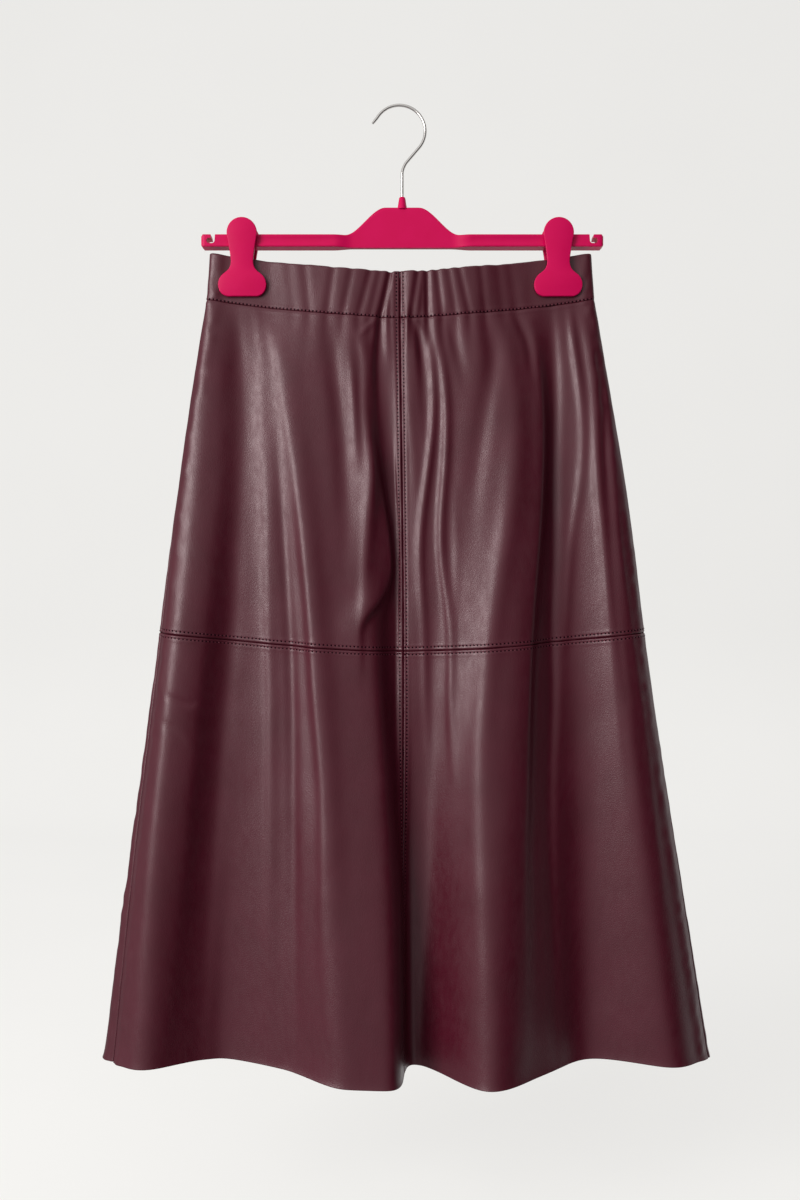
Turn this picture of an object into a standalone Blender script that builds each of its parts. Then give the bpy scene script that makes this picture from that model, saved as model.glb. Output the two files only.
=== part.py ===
"""A gathered-waist leather skirt, hung from a moulded hanger with two clips.

Lengths in the tables are millimetres; the meshes are metres. The origin is the point of the hook
that bears on its support, +Z is up, +X is to the right as the skirt is looked at, and the skirt's
front faces -Y. "Drop" is a level's distance below the origin at the side seams.
"""

import math
from collections import namedtuple

import bmesh
import bpy
import numpy as np
from mathutils import Matrix, Vector

MM = 0.001

# Cloth
PANEL_WALL = 1.3
BAND_WALL = 2.6
SEAM_GAP = 0.3
SIDE_SEAM_GAP = 0.7  # at the outer face; the cloth turns here, so it is about 0.3 at the inner face
TOP_DROP = 132.3
BAND_TAPER = 3.0  # the waistband is this much narrower at each side of its top edge
YOKE_DROP = 472.5
SAG_POWER = 1.5  # between the clips the cloth hangs in a blunt V
SAG_ROUND = 0.02
DIP_POWER = 6
CROWDING = 0.6  # columns stand closer together towards a panel's side edges

# Hanger
BAR_HALF_LENGTH = 180.0
BAR_TOP = -116.4
BAR_BOTTOM = -127.5
BAR_DEPTH = 12.0
BAR_GROOVE = 1.0
LEAST_GROOVE = 0.15
GROOVE_RISE = 14.0  # the groove grows to its full depth over this length from the hump's foot
GROOVE_END = (152.0, 158.0)
FLANGE = 1.9
HUMP_RISE = 25.0
HUMP_TOP_HALF = 15.0
HUMP_FOOT_HALF = 52.0
HUMP_DEPTH = 5.0
HUMP_BLEND = (44.0, 62.0)  # between these the bar thickens from the hump's depth to its own
HUMP_SECTIONS = (12.0, 66.0)
BAR_SECTIONS = (100.0, 160.0)
END_SLOPE = 1.8
END_DROP = 1.6
SLOT_CENTRE = (-171.6, -122.0)
SLOT_SIZE = (7.4, 4.8)
SLOT_MOUTH = 2.9
SLOT_MOUTH_REACH = 9.0
SLOT_MOUTH_FLARE = (4.2, 0.6)  # the mouth's far corners, inwards and outwards of the slot's end
BOSS_RADII = (4.4, 2.7)
BOSS_HEIGHT = 11.0
BOSS_OVERLAP = 1.0
WIRE = 2.7
WIRE_PLAY = 0.3
BORE_DEPTH = 12.0
HOOK_RADIUS = 23.2
HOOK_OFFSET = -2.5  # the hook's round is this far left of the hanging point
STEM_TOP = -57.0
STEM_BEND = ((0.0, -3.0), (0.9, 1.5), (3.4, 6.5))  # from the stem's top into the round
HOOK_START_ANGLE = -42.0
HOOK_END_ANGLE = 148.0
HOOK_TIP = 7.0
HOOK_TIP_TURN = 0.12

# Clips
CLIP_X = (-143.0, 139.5)
HEAD_RADIUS = 13.5
HEAD_HEIGHT = -116.3
PLATE = 3.2
FOOT_FACE = 3.7  # the plates' inner faces at the foot, either side of the cloth
FOOT_DROP = 55.8
HEAD_SPREAD = 3.6  # the plates stand this much wider apart at the head, each side
RIB = (17.0, 2.6)
RIB_HEIGHT = -131.6
SPRING_WIDTH = 9.0
SPRING_STRIP = 0.6
SPRING_FOOT = -121.0

# Levels down the skirt. sag: how much lower the middle hangs. dip: how much lower the corners of
# the hem hang. left, right: the side edges. edge_y, edge_radius: where the cloth turns round at
# the sides, and how wide. softness: how far the folds are rounded. left_seam, right_seam: how far
# in front of the side edges the side seams run.
Level = namedtuple(
    "Level", "drop sag dip left right edge_y edge_radius softness left_seam right_seam"
)
LEVELS = (
    Level(174.2, 18.0, 0, -176, 173, 0, 3.4, 1.2, 0, 0),  # waist seam
    Level(263.7, 17.5, 0, -191, 189, 0, 4.0, 2.5, 0, 0),  # hip
    Level(353.7, 17.5, 0, -204, 204, -1, 5.0, 3.5, 1, 0),  # thigh
    Level(472.5, 17.0, 0, -219, 219, -1, 6.5, 4.0, 4, 1),  # yoke seam
    Level(668.7, 16.0, 3, -245, 248, -3, 9.0, 5.0, 9, 3),  # knee
    Level(842.0, 15.5, 10, -269, 276, -5, 12.0, 5.5, 20, 5),  # hem
)

# Folds of the front, left to right. across: where each runs, and out: how far it stands towards
# the viewer, both at the six levels above.
Fold = namedtuple("Fold", "across out")
FRONT_FOLDS = {
    "left crest": Fold((-163, -176, -186, -199, -218, -225), (3.4, 9, 13, 19, 29, 40)),
    "left valley": Fold((-143, -142, -143, -148, -157, -160), (3.4, 4, 5, 6, 9, 13)),
    "left rise": Fold((-122, -125, -119, -114, -108, -104), (3.6, 7, 9, 10, 17, 27)),
    "mid-left crest": Fold((-91, -89, -78, -67, -57, -47), (6, 13, 17, 22, 40, 61)),
    "mid-left shoulder": Fold((-46, -41, -35, -26, -14, -9), (8, 12, 15, 20, 38, 61)),
    "centre fall": Fold((-13, -13, -10, -9, -2, -1), (5.5, 5, 4, 5, 25, 50)),
    "centre seam": Fold((-2, -1, 0, 1, 1, 1), (8, 8, 7, 6, 14, 27)),
    "centre valley": Fold((9, 10, 12, 11, 6, 5), (8, 10, 10, 8, 6, 9)),
    "centre trough": Fold((22, 25, 30, 27, 20, 16), (5.5, 10, 11, 9, 6, 6)),
    "mid-right crest": Fold((61, 84, 88, 80, 76, 75), (8, 17, 22, 28, 46, 67)),
    "right fall": Fold((104, 116, 119, 119, 122, 124), (3.8, 9, 12, 15, 26, 38)),
    "right valley": Fold((139, 142, 146, 153, 164, 167), (3.4, 3.5, 4, 5, 8, 12)),
    "right crest": Fold((158, 170, 181, 195, 214, 234), (3.4, 8, 12, 16, 26, 35)),
}
CENTRE = 2 + list(FRONT_FOLDS).index("centre seam")  # two corners of the left edge come first

# Waves of the back, right to left. share: where each runs, as a share of the half width. back: how
# far it stands behind the hanger's plane, at the six levels.
Wave = namedtuple("Wave", "share back")
BACK_WAVES = (
    Wave(0.80, (3.4, 5, 6, 8, 12, 17)),
    Wave(0.55, (3.4, 3, 3, 3, 3, 4)),
    Wave(0.28, (5.5, 6, 7, 9, 14, 21)),
    Wave(0.02, (6.5, 5, 4, 4, 4, 5)),
    Wave(-0.25, (5.5, 6, 6, 8, 13, 19)),
    Wave(-0.52, (3.4, 3, 3, 3, 3, 4)),
    Wave(-0.78, (3.4, 5, 6, 8, 12, 18)),
)

# Half outline of a clip plate, from below the round head to the foot: half width, and drop from
# the head's centre.
CLIP_SIDE = (
    (13.3, 2.5),
    (11.6, 12.0),
    (10.2, 22.0),
    (10.3, 28.0),
    (13.0, 33.0),
    (18.0, 37.0),
    (21.2, 42.5),
    (21.2, 48.5),
    (18.3, 53.5),
    (13.5, 55.8),
)

RING_STEPS = 1024
STEPS_A_CORNER = 24


def level_table():
    """One row for each level: the level's own columns, the folds' across and out, the waves' back."""
    columns = [np.array(LEVELS)]
    columns.append(np.array([fold.across for fold in FRONT_FOLDS.values()]).T)
    columns.append(np.array([fold.out for fold in FRONT_FOLDS.values()]).T)
    columns.append(np.array([wave.back for wave in BACK_WAVES]).T)
    return np.hstack(columns)


def natural_spline(knots, rows, at):
    """The row at one place between the knots, on a natural cubic spline through every column."""
    step = np.diff(knots)
    system = np.eye(len(knots))
    pull = np.zeros_like(rows)
    for i in range(1, len(knots) - 1):
        system[i, i - 1 : i + 2] = step[i - 1], 2 * (step[i - 1] + step[i]), step[i]
        pull[i] = 6 * ((rows[i + 1] - rows[i]) / step[i] - (rows[i] - rows[i - 1]) / step[i - 1])
    bend = np.linalg.solve(system, pull)
    i = int(np.clip(np.searchsorted(knots, at) - 1, 0, len(knots) - 2))
    a = (knots[i + 1] - at) / step[i]
    b = 1 - a
    swing = (a**3 - a) * bend[i] + (b**3 - b) * bend[i + 1]
    return a * rows[i] + b * rows[i + 1] + swing * step[i] ** 2 / 6


def closed_curve(corners):
    """A closed curve through the corners that never swings past them, as complex numbers."""
    ahead = np.roll(corners, -1, axis=0) - corners
    behind = np.roll(ahead, 1, axis=0)
    same_way = ahead * behind > 0
    total = np.where(same_way, ahead + behind, 1)
    lean = np.where(same_way, 2 * ahead * behind / total, 0)
    t = np.arange(STEPS_A_CORNER)[None, :, None] / STEPS_A_CORNER
    start = corners[:, None]
    end = np.roll(corners, -1, axis=0)[:, None]
    lean_end = np.roll(lean, -1, axis=0)[:, None]
    points = (
        start * (1 + 2 * t) * (1 - t) ** 2
        + end * t**2 * (3 - 2 * t)
        + lean[:, None] * t * (1 - t) ** 2
        - lean_end * t**2 * (1 - t)
    ).reshape(-1, 2)
    return points[:, 0] + 1j * points[:, 1]


def running_length(loop):
    """The length along a closed loop up to each point, and once round."""
    return np.concatenate([[0], np.cumsum(np.abs(np.roll(loop, -1) - loop))])


def ring(drop):
    """The cloth's outer face at one level, seen from above.

    Returns the level's columns, the loop's points, the length up to each of them, and where along
    it the left, centre and right seams run. The loop starts at the left edge and crosses the front.
    """
    row = natural_spline(TABLE[:, 0], TABLE, max(drop, LEVELS[0].drop))
    level = Level(*row[: len(Level._fields)])
    taper = BAND_TAPER * max(0.0, LEVELS[0].drop - drop) / (LEVELS[0].drop - TOP_DROP)
    left = level.left + taper
    right = level.right - taper
    across, out, back = np.split(row[len(Level._fields) :], [len(FRONT_FOLDS), 2 * len(FRONT_FOLDS)])
    middle, half = (left + right) / 2, (right - left) / 2
    turn = level.edge_radius
    corners = [(left, level.edge_y), (left + turn, level.edge_y - turn)]
    corners += list(zip(across, -out))
    corners += [(right - turn, level.edge_y - turn), (right, level.edge_y)]
    right_corner = len(corners) - 1
    corners += [(right - turn, level.edge_y + turn)]
    corners += [(middle + wave.share * half, y) for wave, y in zip(BACK_WAVES, back)]
    corners += [(left + turn, level.edge_y + turn)]
    curve = closed_curve(np.array(corners))
    length = running_length(curve)
    even = np.arange(RING_STEPS) * length[-1] / RING_STEPS
    closed = np.append(curve, curve[0])
    loop = np.interp(even, length, closed.real) + 1j * np.interp(even, length, closed.imag)
    waves = np.fft.fftfreq(RING_STEPS, length[-1] / RING_STEPS)
    soft = np.fft.ifft(np.fft.fft(loop) * np.exp(-2 * (math.pi * level.softness * waves) ** 2))
    soft_length = running_length(soft)

    def after_rounding(corner):
        return np.interp(length[corner * STEPS_A_CORNER], np.append(even, length[-1]), soft_length)

    seams = (level.left_seam, after_rounding(CENTRE), after_rounding(right_corner) - level.right_seam)
    return level._replace(left=left, right=right), soft, soft_length, seams


def place(drop, side_from, side_to, shares, wall):
    """Points across a panel's outer and inner faces at one level, from one seam to another.

    The seams are 0 left, 1 centre, 2 right and 3 left again, once round.
    """
    level, loop, length, seams = ring(drop)
    stations = (*seams, length[-1] + seams[0])
    gaps = (SIDE_SEAM_GAP, SEAM_GAP, SIDE_SEAM_GAP, SIDE_SEAM_GAP)
    start = stations[side_from] + gaps[side_from] / 2
    end = stations[side_to] - gaps[side_to] / 2
    at = (start + (end - start) * shares) % length[-1]
    outwards = -1j * (np.roll(loop, -1) - np.roll(loop, 1))
    outwards /= np.abs(outwards)
    faces = []
    for face in (loop, loop - wall * outwards):
        closed = np.append(face, face[0])
        faces.append(np.interp(at, length, closed.real) + 1j * np.interp(at, length, closed.imag))
    middle, half = (level.left + level.right) / 2, (level.right - level.left) / 2
    aside = np.clip(np.abs(faces[0].real - middle) / half, 0, 1)
    hang = 1 - (aside**2 + SAG_ROUND**2) ** (SAG_POWER / 2)
    z = -(drop + level.sag * hang + level.dip * aside**DIP_POWER)
    return [np.column_stack([face.real, face.imag, z]) for face in faces]


def crowded(count):
    """Shares from 0 to 1, closer together towards both ends."""
    even = np.linspace(0, 1, count + 1)
    return even - CROWDING * np.sin(2 * math.pi * even) / (2 * math.pi)


def add_object(name, mesh, material):
    shown = bpy.data.objects.new(name, mesh)
    mesh.materials.append(material)
    bpy.context.scene.collection.objects.link(shown)
    return shown


def point_outwards(work):
    bmesh.ops.recalc_face_normals(work, faces=work.faces)
    if work.calc_volume(signed=True) < 0:
        bmesh.ops.reverse_faces(work, faces=work.faces)


def finished(name, work, material):
    """A bmesh made into an object, its faces pointing out."""
    point_outwards(work)
    mesh = bpy.data.meshes.new(name)
    work.to_mesh(mesh)
    work.free()
    return add_object(name, mesh, material)


def make_panel(name, seams, drops, columns, rows, wall, material):
    """A cloth panel between two seams and two levels, as a wall with an outer and an inner face."""
    shares = crowded(columns)
    levels = np.linspace(drops[0], drops[1], rows + 1)
    grid = np.array([place(drop, *seams, shares, wall) for drop in levels]) * MM
    work = bmesh.new()
    bmesh.ops.create_grid(work, x_segments=columns, y_segments=rows, size=1)
    grown = bmesh.ops.extrude_face_region(work, geom=work.faces[:])["geom"]
    outer = {part for part in grown if isinstance(part, bmesh.types.BMVert)}
    for vertex in work.verts:
        column = round((vertex.co.x + 1) / 2 * columns)
        row = round((1 - vertex.co.y) / 2 * rows)
        vertex.co = grid[row, 0 if vertex in outer else 1, column]
    return finished(name, work, material)


def make_skirt(leather):
    """The six leather panels and the three lengths of the waistband."""
    gap = SEAM_GAP / 2
    band = (TOP_DROP, LEVELS[0].drop - gap)
    upper = (LEVELS[0].drop + gap, YOKE_DROP - gap)
    lower = (YOKE_DROP + gap, LEVELS[-1].drop)
    make_panel("waistband_front_left", (0, 1), band, 26, 2, BAND_WALL, leather)
    make_panel("waistband_front_right", (1, 2), band, 26, 2, BAND_WALL, leather)
    make_panel("waistband_back", (2, 3), band, 40, 2, BAND_WALL, leather)
    make_panel("front_upper_left", (0, 1), upper, 24, 8, PANEL_WALL, leather)
    make_panel("front_upper_right", (1, 2), upper, 24, 8, PANEL_WALL, leather)
    make_panel("back_upper", (2, 3), upper, 36, 7, PANEL_WALL, leather)
    make_panel("front_lower_left", (0, 1), lower, 34, 10, PANEL_WALL, leather)
    make_panel("front_lower_right", (1, 2), lower, 34, 10, PANEL_WALL, leather)
    make_panel("back_lower", (2, 3), lower, 44, 8, PANEL_WALL, leather)


def smooth_step(low, high, value):
    t = min(1.0, max(0.0, (value - low) / (high - low)))
    return t * t * (3 - 2 * t)


def turned_outline(points, depth):
    """A bmesh plate: an outline in X and Z, given as (x, z), extruded from y = 0 to depth."""
    work = bmesh.new()
    corners = [work.verts.new((x * MM, 0, z * MM)) for x, z in points]
    face = work.faces.new(corners)
    grown = bmesh.ops.extrude_face_region(work, geom=[face])["geom"]
    moved = [part for part in grown if isinstance(part, bmesh.types.BMVert)]
    bmesh.ops.translate(work, verts=moved, vec=(0, depth * MM, 0))
    return work


def cut(target, name, work, operation="DIFFERENCE"):
    """Takes a shape out of the target, or joins it on, and leaves it as a hidden cutter."""
    point_outwards(work)
    mesh = bpy.data.meshes.new(name)
    work.to_mesh(mesh)
    work.free()
    cutter = bpy.data.objects.new(name, mesh)
    bpy.context.scene.collection.objects.link(cutter)
    cutter.hide_render = True
    cutter.display_type = "WIRE"
    step = target.modifiers.new(name, "BOOLEAN")
    step.operation = operation
    step.object = cutter
    step.solver = "EXACT"


def box(low, high):
    """A bmesh box between two corners in millimetres."""
    work = bmesh.new()
    size = [(h - l) * MM for l, h in zip(low, high)]
    centre = [(h + l) / 2 * MM for l, h in zip(low, high)]
    bmesh.ops.create_cube(work, size=1, matrix=Matrix.Translation(centre) @ Matrix.Diagonal((*size, 1)))
    return work


def round_rod(start, end, radii, sides=20):
    """A bmesh cone or cylinder that stands upright from start to end."""
    work = bmesh.new()
    middle = (Vector(start) + Vector(end)) / 2 * MM
    bmesh.ops.create_cone(
        work,
        cap_ends=True,
        segments=sides,
        radius1=radii[0] * MM,
        radius2=radii[1] * MM,
        depth=(end[2] - start[2]) * MM,
        matrix=Matrix.Translation(middle),
    )
    return work


def hump_height(x):
    return HUMP_RISE * (1 - smooth_step(HUMP_TOP_HALF, HUMP_FOOT_HALF, abs(x)))


def bar_half_depth(x):
    thick = smooth_step(*HUMP_BLEND, abs(x))
    return (HUMP_DEPTH + (BAR_DEPTH - HUMP_DEPTH) * thick) / 2


def through_bar(outline):
    """A cutter of the outline, long enough to pass through the bar from front to back."""
    cutter = turned_outline(outline, 2 * BAR_DEPTH)
    bmesh.ops.translate(cutter, verts=cutter.verts, vec=(0, -BAR_DEPTH * MM, 0))
    return cutter


def make_bar(plastic):
    """The bar and its hump, section by section, with grooved faces, end slots and a bored boss."""
    half_stations = [*np.linspace(*HUMP_SECTIONS, 13), *BAR_SECTIONS]
    half_stations += [BAR_HALF_LENGTH - END_SLOPE, BAR_HALF_LENGTH]
    stations = [-x for x in reversed(half_stations)] + half_stations
    work = bmesh.new()
    before = None
    for x in stations:
        half = bar_half_depth(x)
        groove = BAR_GROOVE * smooth_step(HUMP_FOOT_HALF, HUMP_FOOT_HALF + GROOVE_RISE, abs(x))
        groove = max(LEAST_GROOVE, groove * (1 - smooth_step(*GROOVE_END, abs(x))))
        top = BAR_TOP + hump_height(x)
        if abs(x) == BAR_HALF_LENGTH:
            top -= END_DROP
        heights = (BAR_BOTTOM, BAR_BOTTOM + FLANGE, top - FLANGE, top)
        depths = (half, half - groove, half - groove, half)
        side = [(-depth, z) for depth, z in zip(depths, heights)]
        section = side + [(-y, z) for y, z in reversed(side)]
        verts = [work.verts.new((x * MM, y * MM, z * MM)) for y, z in section]
        if before:
            for i, corner in enumerate(verts):
                work.faces.new((before[i - 1], before[i], corner, verts[i - 1]))
        else:
            work.faces.new(verts)
        before = verts
    work.faces.new(verts)
    bmesh.ops.triangulate(work, faces=work.faces)
    bar = finished("hanger_bar", work, plastic)
    x, z = SLOT_CENTRE
    wide, high = SLOT_SIZE
    for side, name in ((1, "left"), (-1, "right")):
        outline = []
        for angle in np.linspace(0, 2 * math.pi, 16, endpoint=False) + math.pi / 16:
            shift = math.copysign((wide - high) / 2, math.cos(angle))
            reach = high / 2 * math.cos(angle)
            outline.append((side * (x + shift + reach), z + high / 2 * math.sin(angle)))
        cut(bar, f"slot_{name}", through_bar(outline))
        inner_end = x + wide / 2
        inwards, outwards = SLOT_MOUTH_FLARE
        mouth = [(inner_end - SLOT_MOUTH, z), (inner_end, z)]
        mouth += [(inner_end + outwards, z + SLOT_MOUTH_REACH), (inner_end - inwards, z + SLOT_MOUTH_REACH)]
        cut(bar, f"slot_mouth_{name}", through_bar([(side * a, b) for a, b in mouth]))
    boss_foot = BAR_TOP + HUMP_RISE - BOSS_OVERLAP
    boss_tip = boss_foot + BOSS_HEIGHT
    cut(bar, "boss", round_rod((0, 0, boss_foot), (0, 0, boss_tip), BOSS_RADII), "UNION")
    bore = WIRE / 2 + WIRE_PLAY
    cut(bar, "bore", round_rod((0, 0, boss_tip - BORE_DEPTH), (0, 0, boss_tip + 2), (bore, bore)))
    return boss_tip - BORE_DEPTH + WIRE_PLAY


def hook_route(foot):
    """The wire's centre line: up the stem, over the bend, round the hook and out to its tip."""
    inner = HOOK_RADIUS - WIRE / 2
    centre = (HOOK_OFFSET, -math.sqrt(inner**2 - HOOK_OFFSET**2))
    start = math.radians(HOOK_START_ANGLE)
    end = math.radians(HOOK_END_ANGLE)
    route = [(0.0, foot)]
    route += [(x, STEM_TOP + rise) for x, rise in STEM_BEND]
    for turn in np.linspace(start, end, 26):
        route.append((centre[0] + HOOK_RADIUS * math.cos(turn), centre[1] + HOOK_RADIUS * math.sin(turn)))
    last = route[-1]
    away = (-math.sin(end - HOOK_TIP_TURN), math.cos(end - HOOK_TIP_TURN))
    route += [(last[0] + away[0] * d, last[1] + away[1] * d) for d in (HOOK_TIP / 2, HOOK_TIP)]
    return route


def make_hook(foot, steel):
    """The round wire along its route."""
    route = hook_route(foot)
    line = bpy.data.curves.new("hanger_hook", "CURVE")
    line.dimensions = "3D"
    line.bevel_depth = WIRE / 2 * MM
    line.bevel_resolution = 2
    line.use_fill_caps = True
    spline = line.splines.new("POLY")
    spline.points.add(len(route) - 1)
    for point, (x, z) in zip(spline.points, route):
        point.co = (x * MM, 0, z * MM, 1)
    add_object("hanger_hook", line, steel)


def clip_outline():
    """A clip plate's outline about its head's centre: a round head, and the sides down to the foot."""
    right = [(width, -drop) for width, drop in CLIP_SIDE]
    head = [(HEAD_RADIUS * math.cos(a), HEAD_RADIUS * math.sin(a)) for a in np.linspace(0, math.pi, 17)]
    left = [(-x, z) for x, z in right]
    return head + left + right[::-1]


def make_clip(name, x, facing, plastic):
    """One plate of a clip, leaning from its foot to its head, with the rib that bears under the bar."""
    lean = HEAD_SPREAD / FOOT_DROP
    work = turned_outline([(a + x, b + HEAD_HEIGHT) for a, b in clip_outline()], PLATE)
    for vertex in work.verts:
        above_foot = vertex.co.z / MM - (HEAD_HEIGHT - FOOT_DROP)
        vertex.co.y += (FOOT_FACE + lean * above_foot) * MM
        vertex.co.y *= facing
    plate = finished(name, work, plastic)
    width, height = RIB
    near, far = sorted((facing * SEAM_GAP / 2, facing * (FOOT_FACE + HEAD_SPREAD + PLATE / 2)))
    rib = box((x - width / 2, near, RIB_HEIGHT - height / 2), (x + width / 2, far, RIB_HEIGHT + height / 2))
    cut(plate, f"{name}_rib", rib, "UNION")


def make_spring(name, x, steel):
    """A strip bent over the bar, whose legs press the clip's heads apart."""
    inner = BAR_DEPTH / 2 + SEAM_GAP
    outer = inner + SPRING_STRIP
    top = BAR_TOP + SEAM_GAP
    arc = np.linspace(0, math.pi, 13)
    outside = [(outer * math.cos(a), top + outer * math.sin(a)) for a in arc]
    inside = [(inner * math.cos(a), top + inner * math.sin(a)) for a in arc]
    profile = [(outer, SPRING_FOOT), *outside, (-outer, SPRING_FOOT)]
    profile += [(-inner, SPRING_FOOT), *inside[::-1], (inner, SPRING_FOOT)]
    work = turned_outline(profile, SPRING_WIDTH)
    bmesh.ops.rotate(work, verts=work.verts, cent=(0, 0, 0), matrix=Matrix.Rotation(math.pi / 2, 3, "Z"))
    bmesh.ops.translate(work, verts=work.verts, vec=((x + SPRING_WIDTH / 2) * MM, 0, 0))
    finished(name, work, steel)


def make_material(name, colour, roughness, metallic=0.0):
    material = bpy.data.materials.new(name)
    material.use_nodes = True
    shader = material.node_tree.nodes["Principled BSDF"]
    shader.inputs["Base Color"].default_value = (*colour, 1)
    shader.inputs["Roughness"].default_value = roughness
    shader.inputs["Metallic"].default_value = metallic
    material.diffuse_color = (*colour, 1)
    return material


def main():
    for old in list(bpy.data.objects):
        bpy.data.objects.remove(old)
    leather = make_material("oxblood coated leather", (0.10, 0.030, 0.038), 0.42)
    plastic = make_material("pink moulded plastic", (0.60, 0.008, 0.098), 0.35)
    steel = make_material("polished steel wire", (0.62, 0.60, 0.58), 0.22, 1.0)
    make_skirt(leather)
    wire_foot = make_bar(plastic)
    make_hook(wire_foot, steel)
    for side, x in zip(("left", "right"), CLIP_X):
        make_clip(f"clip_{side}_front", x, -1, plastic)
        make_clip(f"clip_{side}_back", x, 1, plastic)
        make_spring(f"clip_{side}_spring", x, steel)


TABLE = level_table()
main()
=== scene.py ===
"""Looks of the leather skirt on its clip hanger: cloth, stitching, moulded hanger, wire hook, studio.

Tables are in millimetres, meshes in metres. The cloth's levels, folds and waves are those of the
skirt's own solids; the creases, gathers, seams and stitches laid on them are made here.
"""

import functools
import math
from collections import namedtuple

import bmesh
import bpy
import numpy as np
from mathutils import Matrix, Vector


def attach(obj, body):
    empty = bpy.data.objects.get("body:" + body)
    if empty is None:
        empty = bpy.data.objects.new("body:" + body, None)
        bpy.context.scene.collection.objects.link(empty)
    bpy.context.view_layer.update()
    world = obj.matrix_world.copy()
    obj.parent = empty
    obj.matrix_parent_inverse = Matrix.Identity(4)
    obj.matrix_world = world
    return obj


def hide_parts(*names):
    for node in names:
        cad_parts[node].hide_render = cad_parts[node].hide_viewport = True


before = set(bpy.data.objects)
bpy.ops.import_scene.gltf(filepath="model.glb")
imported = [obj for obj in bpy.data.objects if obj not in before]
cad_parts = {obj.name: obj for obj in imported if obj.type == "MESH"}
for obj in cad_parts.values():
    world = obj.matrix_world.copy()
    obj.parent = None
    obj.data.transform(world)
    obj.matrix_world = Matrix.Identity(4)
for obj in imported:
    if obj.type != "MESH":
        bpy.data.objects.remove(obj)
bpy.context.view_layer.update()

MM = 0.001

# ---------------------------------------------------------------- the skirt's form

TOP_DROP, WAIST_DROP, YOKE_DROP, HEM_DROP = 132.3, 174.2, 472.5, 842.0
BAND_TAPER = 3.0
SAG_POWER, SAG_ROUND, DIP_POWER = 1.5, 0.02, 6
RING_STEPS, STEPS_A_CORNER = 1024, 24

Level = namedtuple(
    "Level", "drop sag dip left right edge_y edge_radius softness left_seam right_seam"
)
LEVELS = (
    Level(174.2, 18.0, 0, -176, 173, 0, 3.4, 1.2, 0, 0),
    Level(263.7, 17.5, 0, -191, 189, 0, 4.0, 2.5, 0, 0),
    Level(353.7, 17.5, 0, -204, 204, -1, 5.0, 3.5, 1, 0),
    Level(472.5, 17.0, 0, -219, 219, -1, 6.5, 4.0, 4, 1),
    Level(668.7, 16.0, 3, -245, 248, -3, 9.0, 5.0, 9, 3),
    Level(842.0, 15.5, 10, -269, 276, -5, 12.0, 5.5, 20, 5),
)
Fold = namedtuple("Fold", "across out")
FRONT_FOLDS = {
    "left crest": Fold((-163, -176, -186, -199, -218, -225), (3.4, 9, 13, 19, 29, 40)),
    "left valley": Fold((-143, -142, -143, -148, -157, -160), (3.4, 4, 5, 6, 9, 13)),
    "left rise": Fold((-122, -125, -119, -114, -108, -104), (3.6, 7, 9, 10, 17, 27)),
    "mid-left crest": Fold((-91, -89, -78, -67, -57, -47), (6, 13, 17, 22, 40, 61)),
    "mid-left shoulder": Fold((-46, -41, -35, -26, -14, -9), (8, 12, 15, 20, 38, 61)),
    "centre fall": Fold((-13, -13, -10, -9, -2, -1), (5.5, 5, 4, 5, 25, 50)),
    "centre seam": Fold((-2, -1, 0, 1, 1, 1), (8, 8, 7, 6, 14, 27)),
    "centre valley": Fold((9, 10, 12, 11, 6, 5), (8, 10, 10, 8, 6, 9)),
    "centre trough": Fold((22, 25, 30, 27, 20, 16), (5.5, 10, 11, 9, 6, 6)),
    "mid-right crest": Fold((61, 84, 88, 80, 76, 75), (8, 17, 22, 28, 46, 67)),
    "right fall": Fold((104, 116, 119, 119, 122, 124), (3.8, 9, 12, 15, 26, 38)),
    "right valley": Fold((139, 142, 146, 153, 164, 167), (3.4, 3.5, 4, 5, 8, 12)),
    "right crest": Fold((158, 170, 181, 195, 214, 234), (3.4, 8, 12, 16, 26, 35)),
}
CENTRE = 2 + list(FRONT_FOLDS).index("centre seam")
Wave = namedtuple("Wave", "share back")
BACK_WAVES = (
    Wave(0.80, (3.4, 5, 6, 8, 12, 17)),
    Wave(0.55, (3.4, 3, 3, 3, 3, 4)),
    Wave(0.28, (5.5, 6, 7, 9, 14, 21)),
    Wave(0.02, (6.5, 5, 4, 4, 4, 5)),
    Wave(-0.25, (5.5, 6, 6, 8, 13, 19)),
    Wave(-0.52, (3.4, 3, 3, 3, 3, 4)),
    Wave(-0.78, (3.4, 5, 6, 8, 12, 18)),
)
TABLE = np.hstack(
    [
        np.array(LEVELS),
        np.array([fold.across for fold in FRONT_FOLDS.values()]).T,
        np.array([fold.out for fold in FRONT_FOLDS.values()]).T,
        np.array([wave.back for wave in BACK_WAVES]).T,
    ]
)


def natural_spline(knots, rows, at):
    """The row at one place between the knots, on a natural cubic spline through every column."""
    step = np.diff(knots)
    system = np.eye(len(knots))
    pull = np.zeros_like(rows)
    for i in range(1, len(knots) - 1):
        system[i, i - 1 : i + 2] = step[i - 1], 2 * (step[i - 1] + step[i]), step[i]
        pull[i] = 6 * ((rows[i + 1] - rows[i]) / step[i] - (rows[i] - rows[i - 1]) / step[i - 1])
    bend = np.linalg.solve(system, pull)
    i = int(np.clip(np.searchsorted(knots, at) - 1, 0, len(knots) - 2))
    a = (knots[i + 1] - at) / step[i]
    b = 1 - a
    swing = (a**3 - a) * bend[i] + (b**3 - b) * bend[i + 1]
    return a * rows[i] + b * rows[i + 1] + swing * step[i] ** 2 / 6


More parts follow.
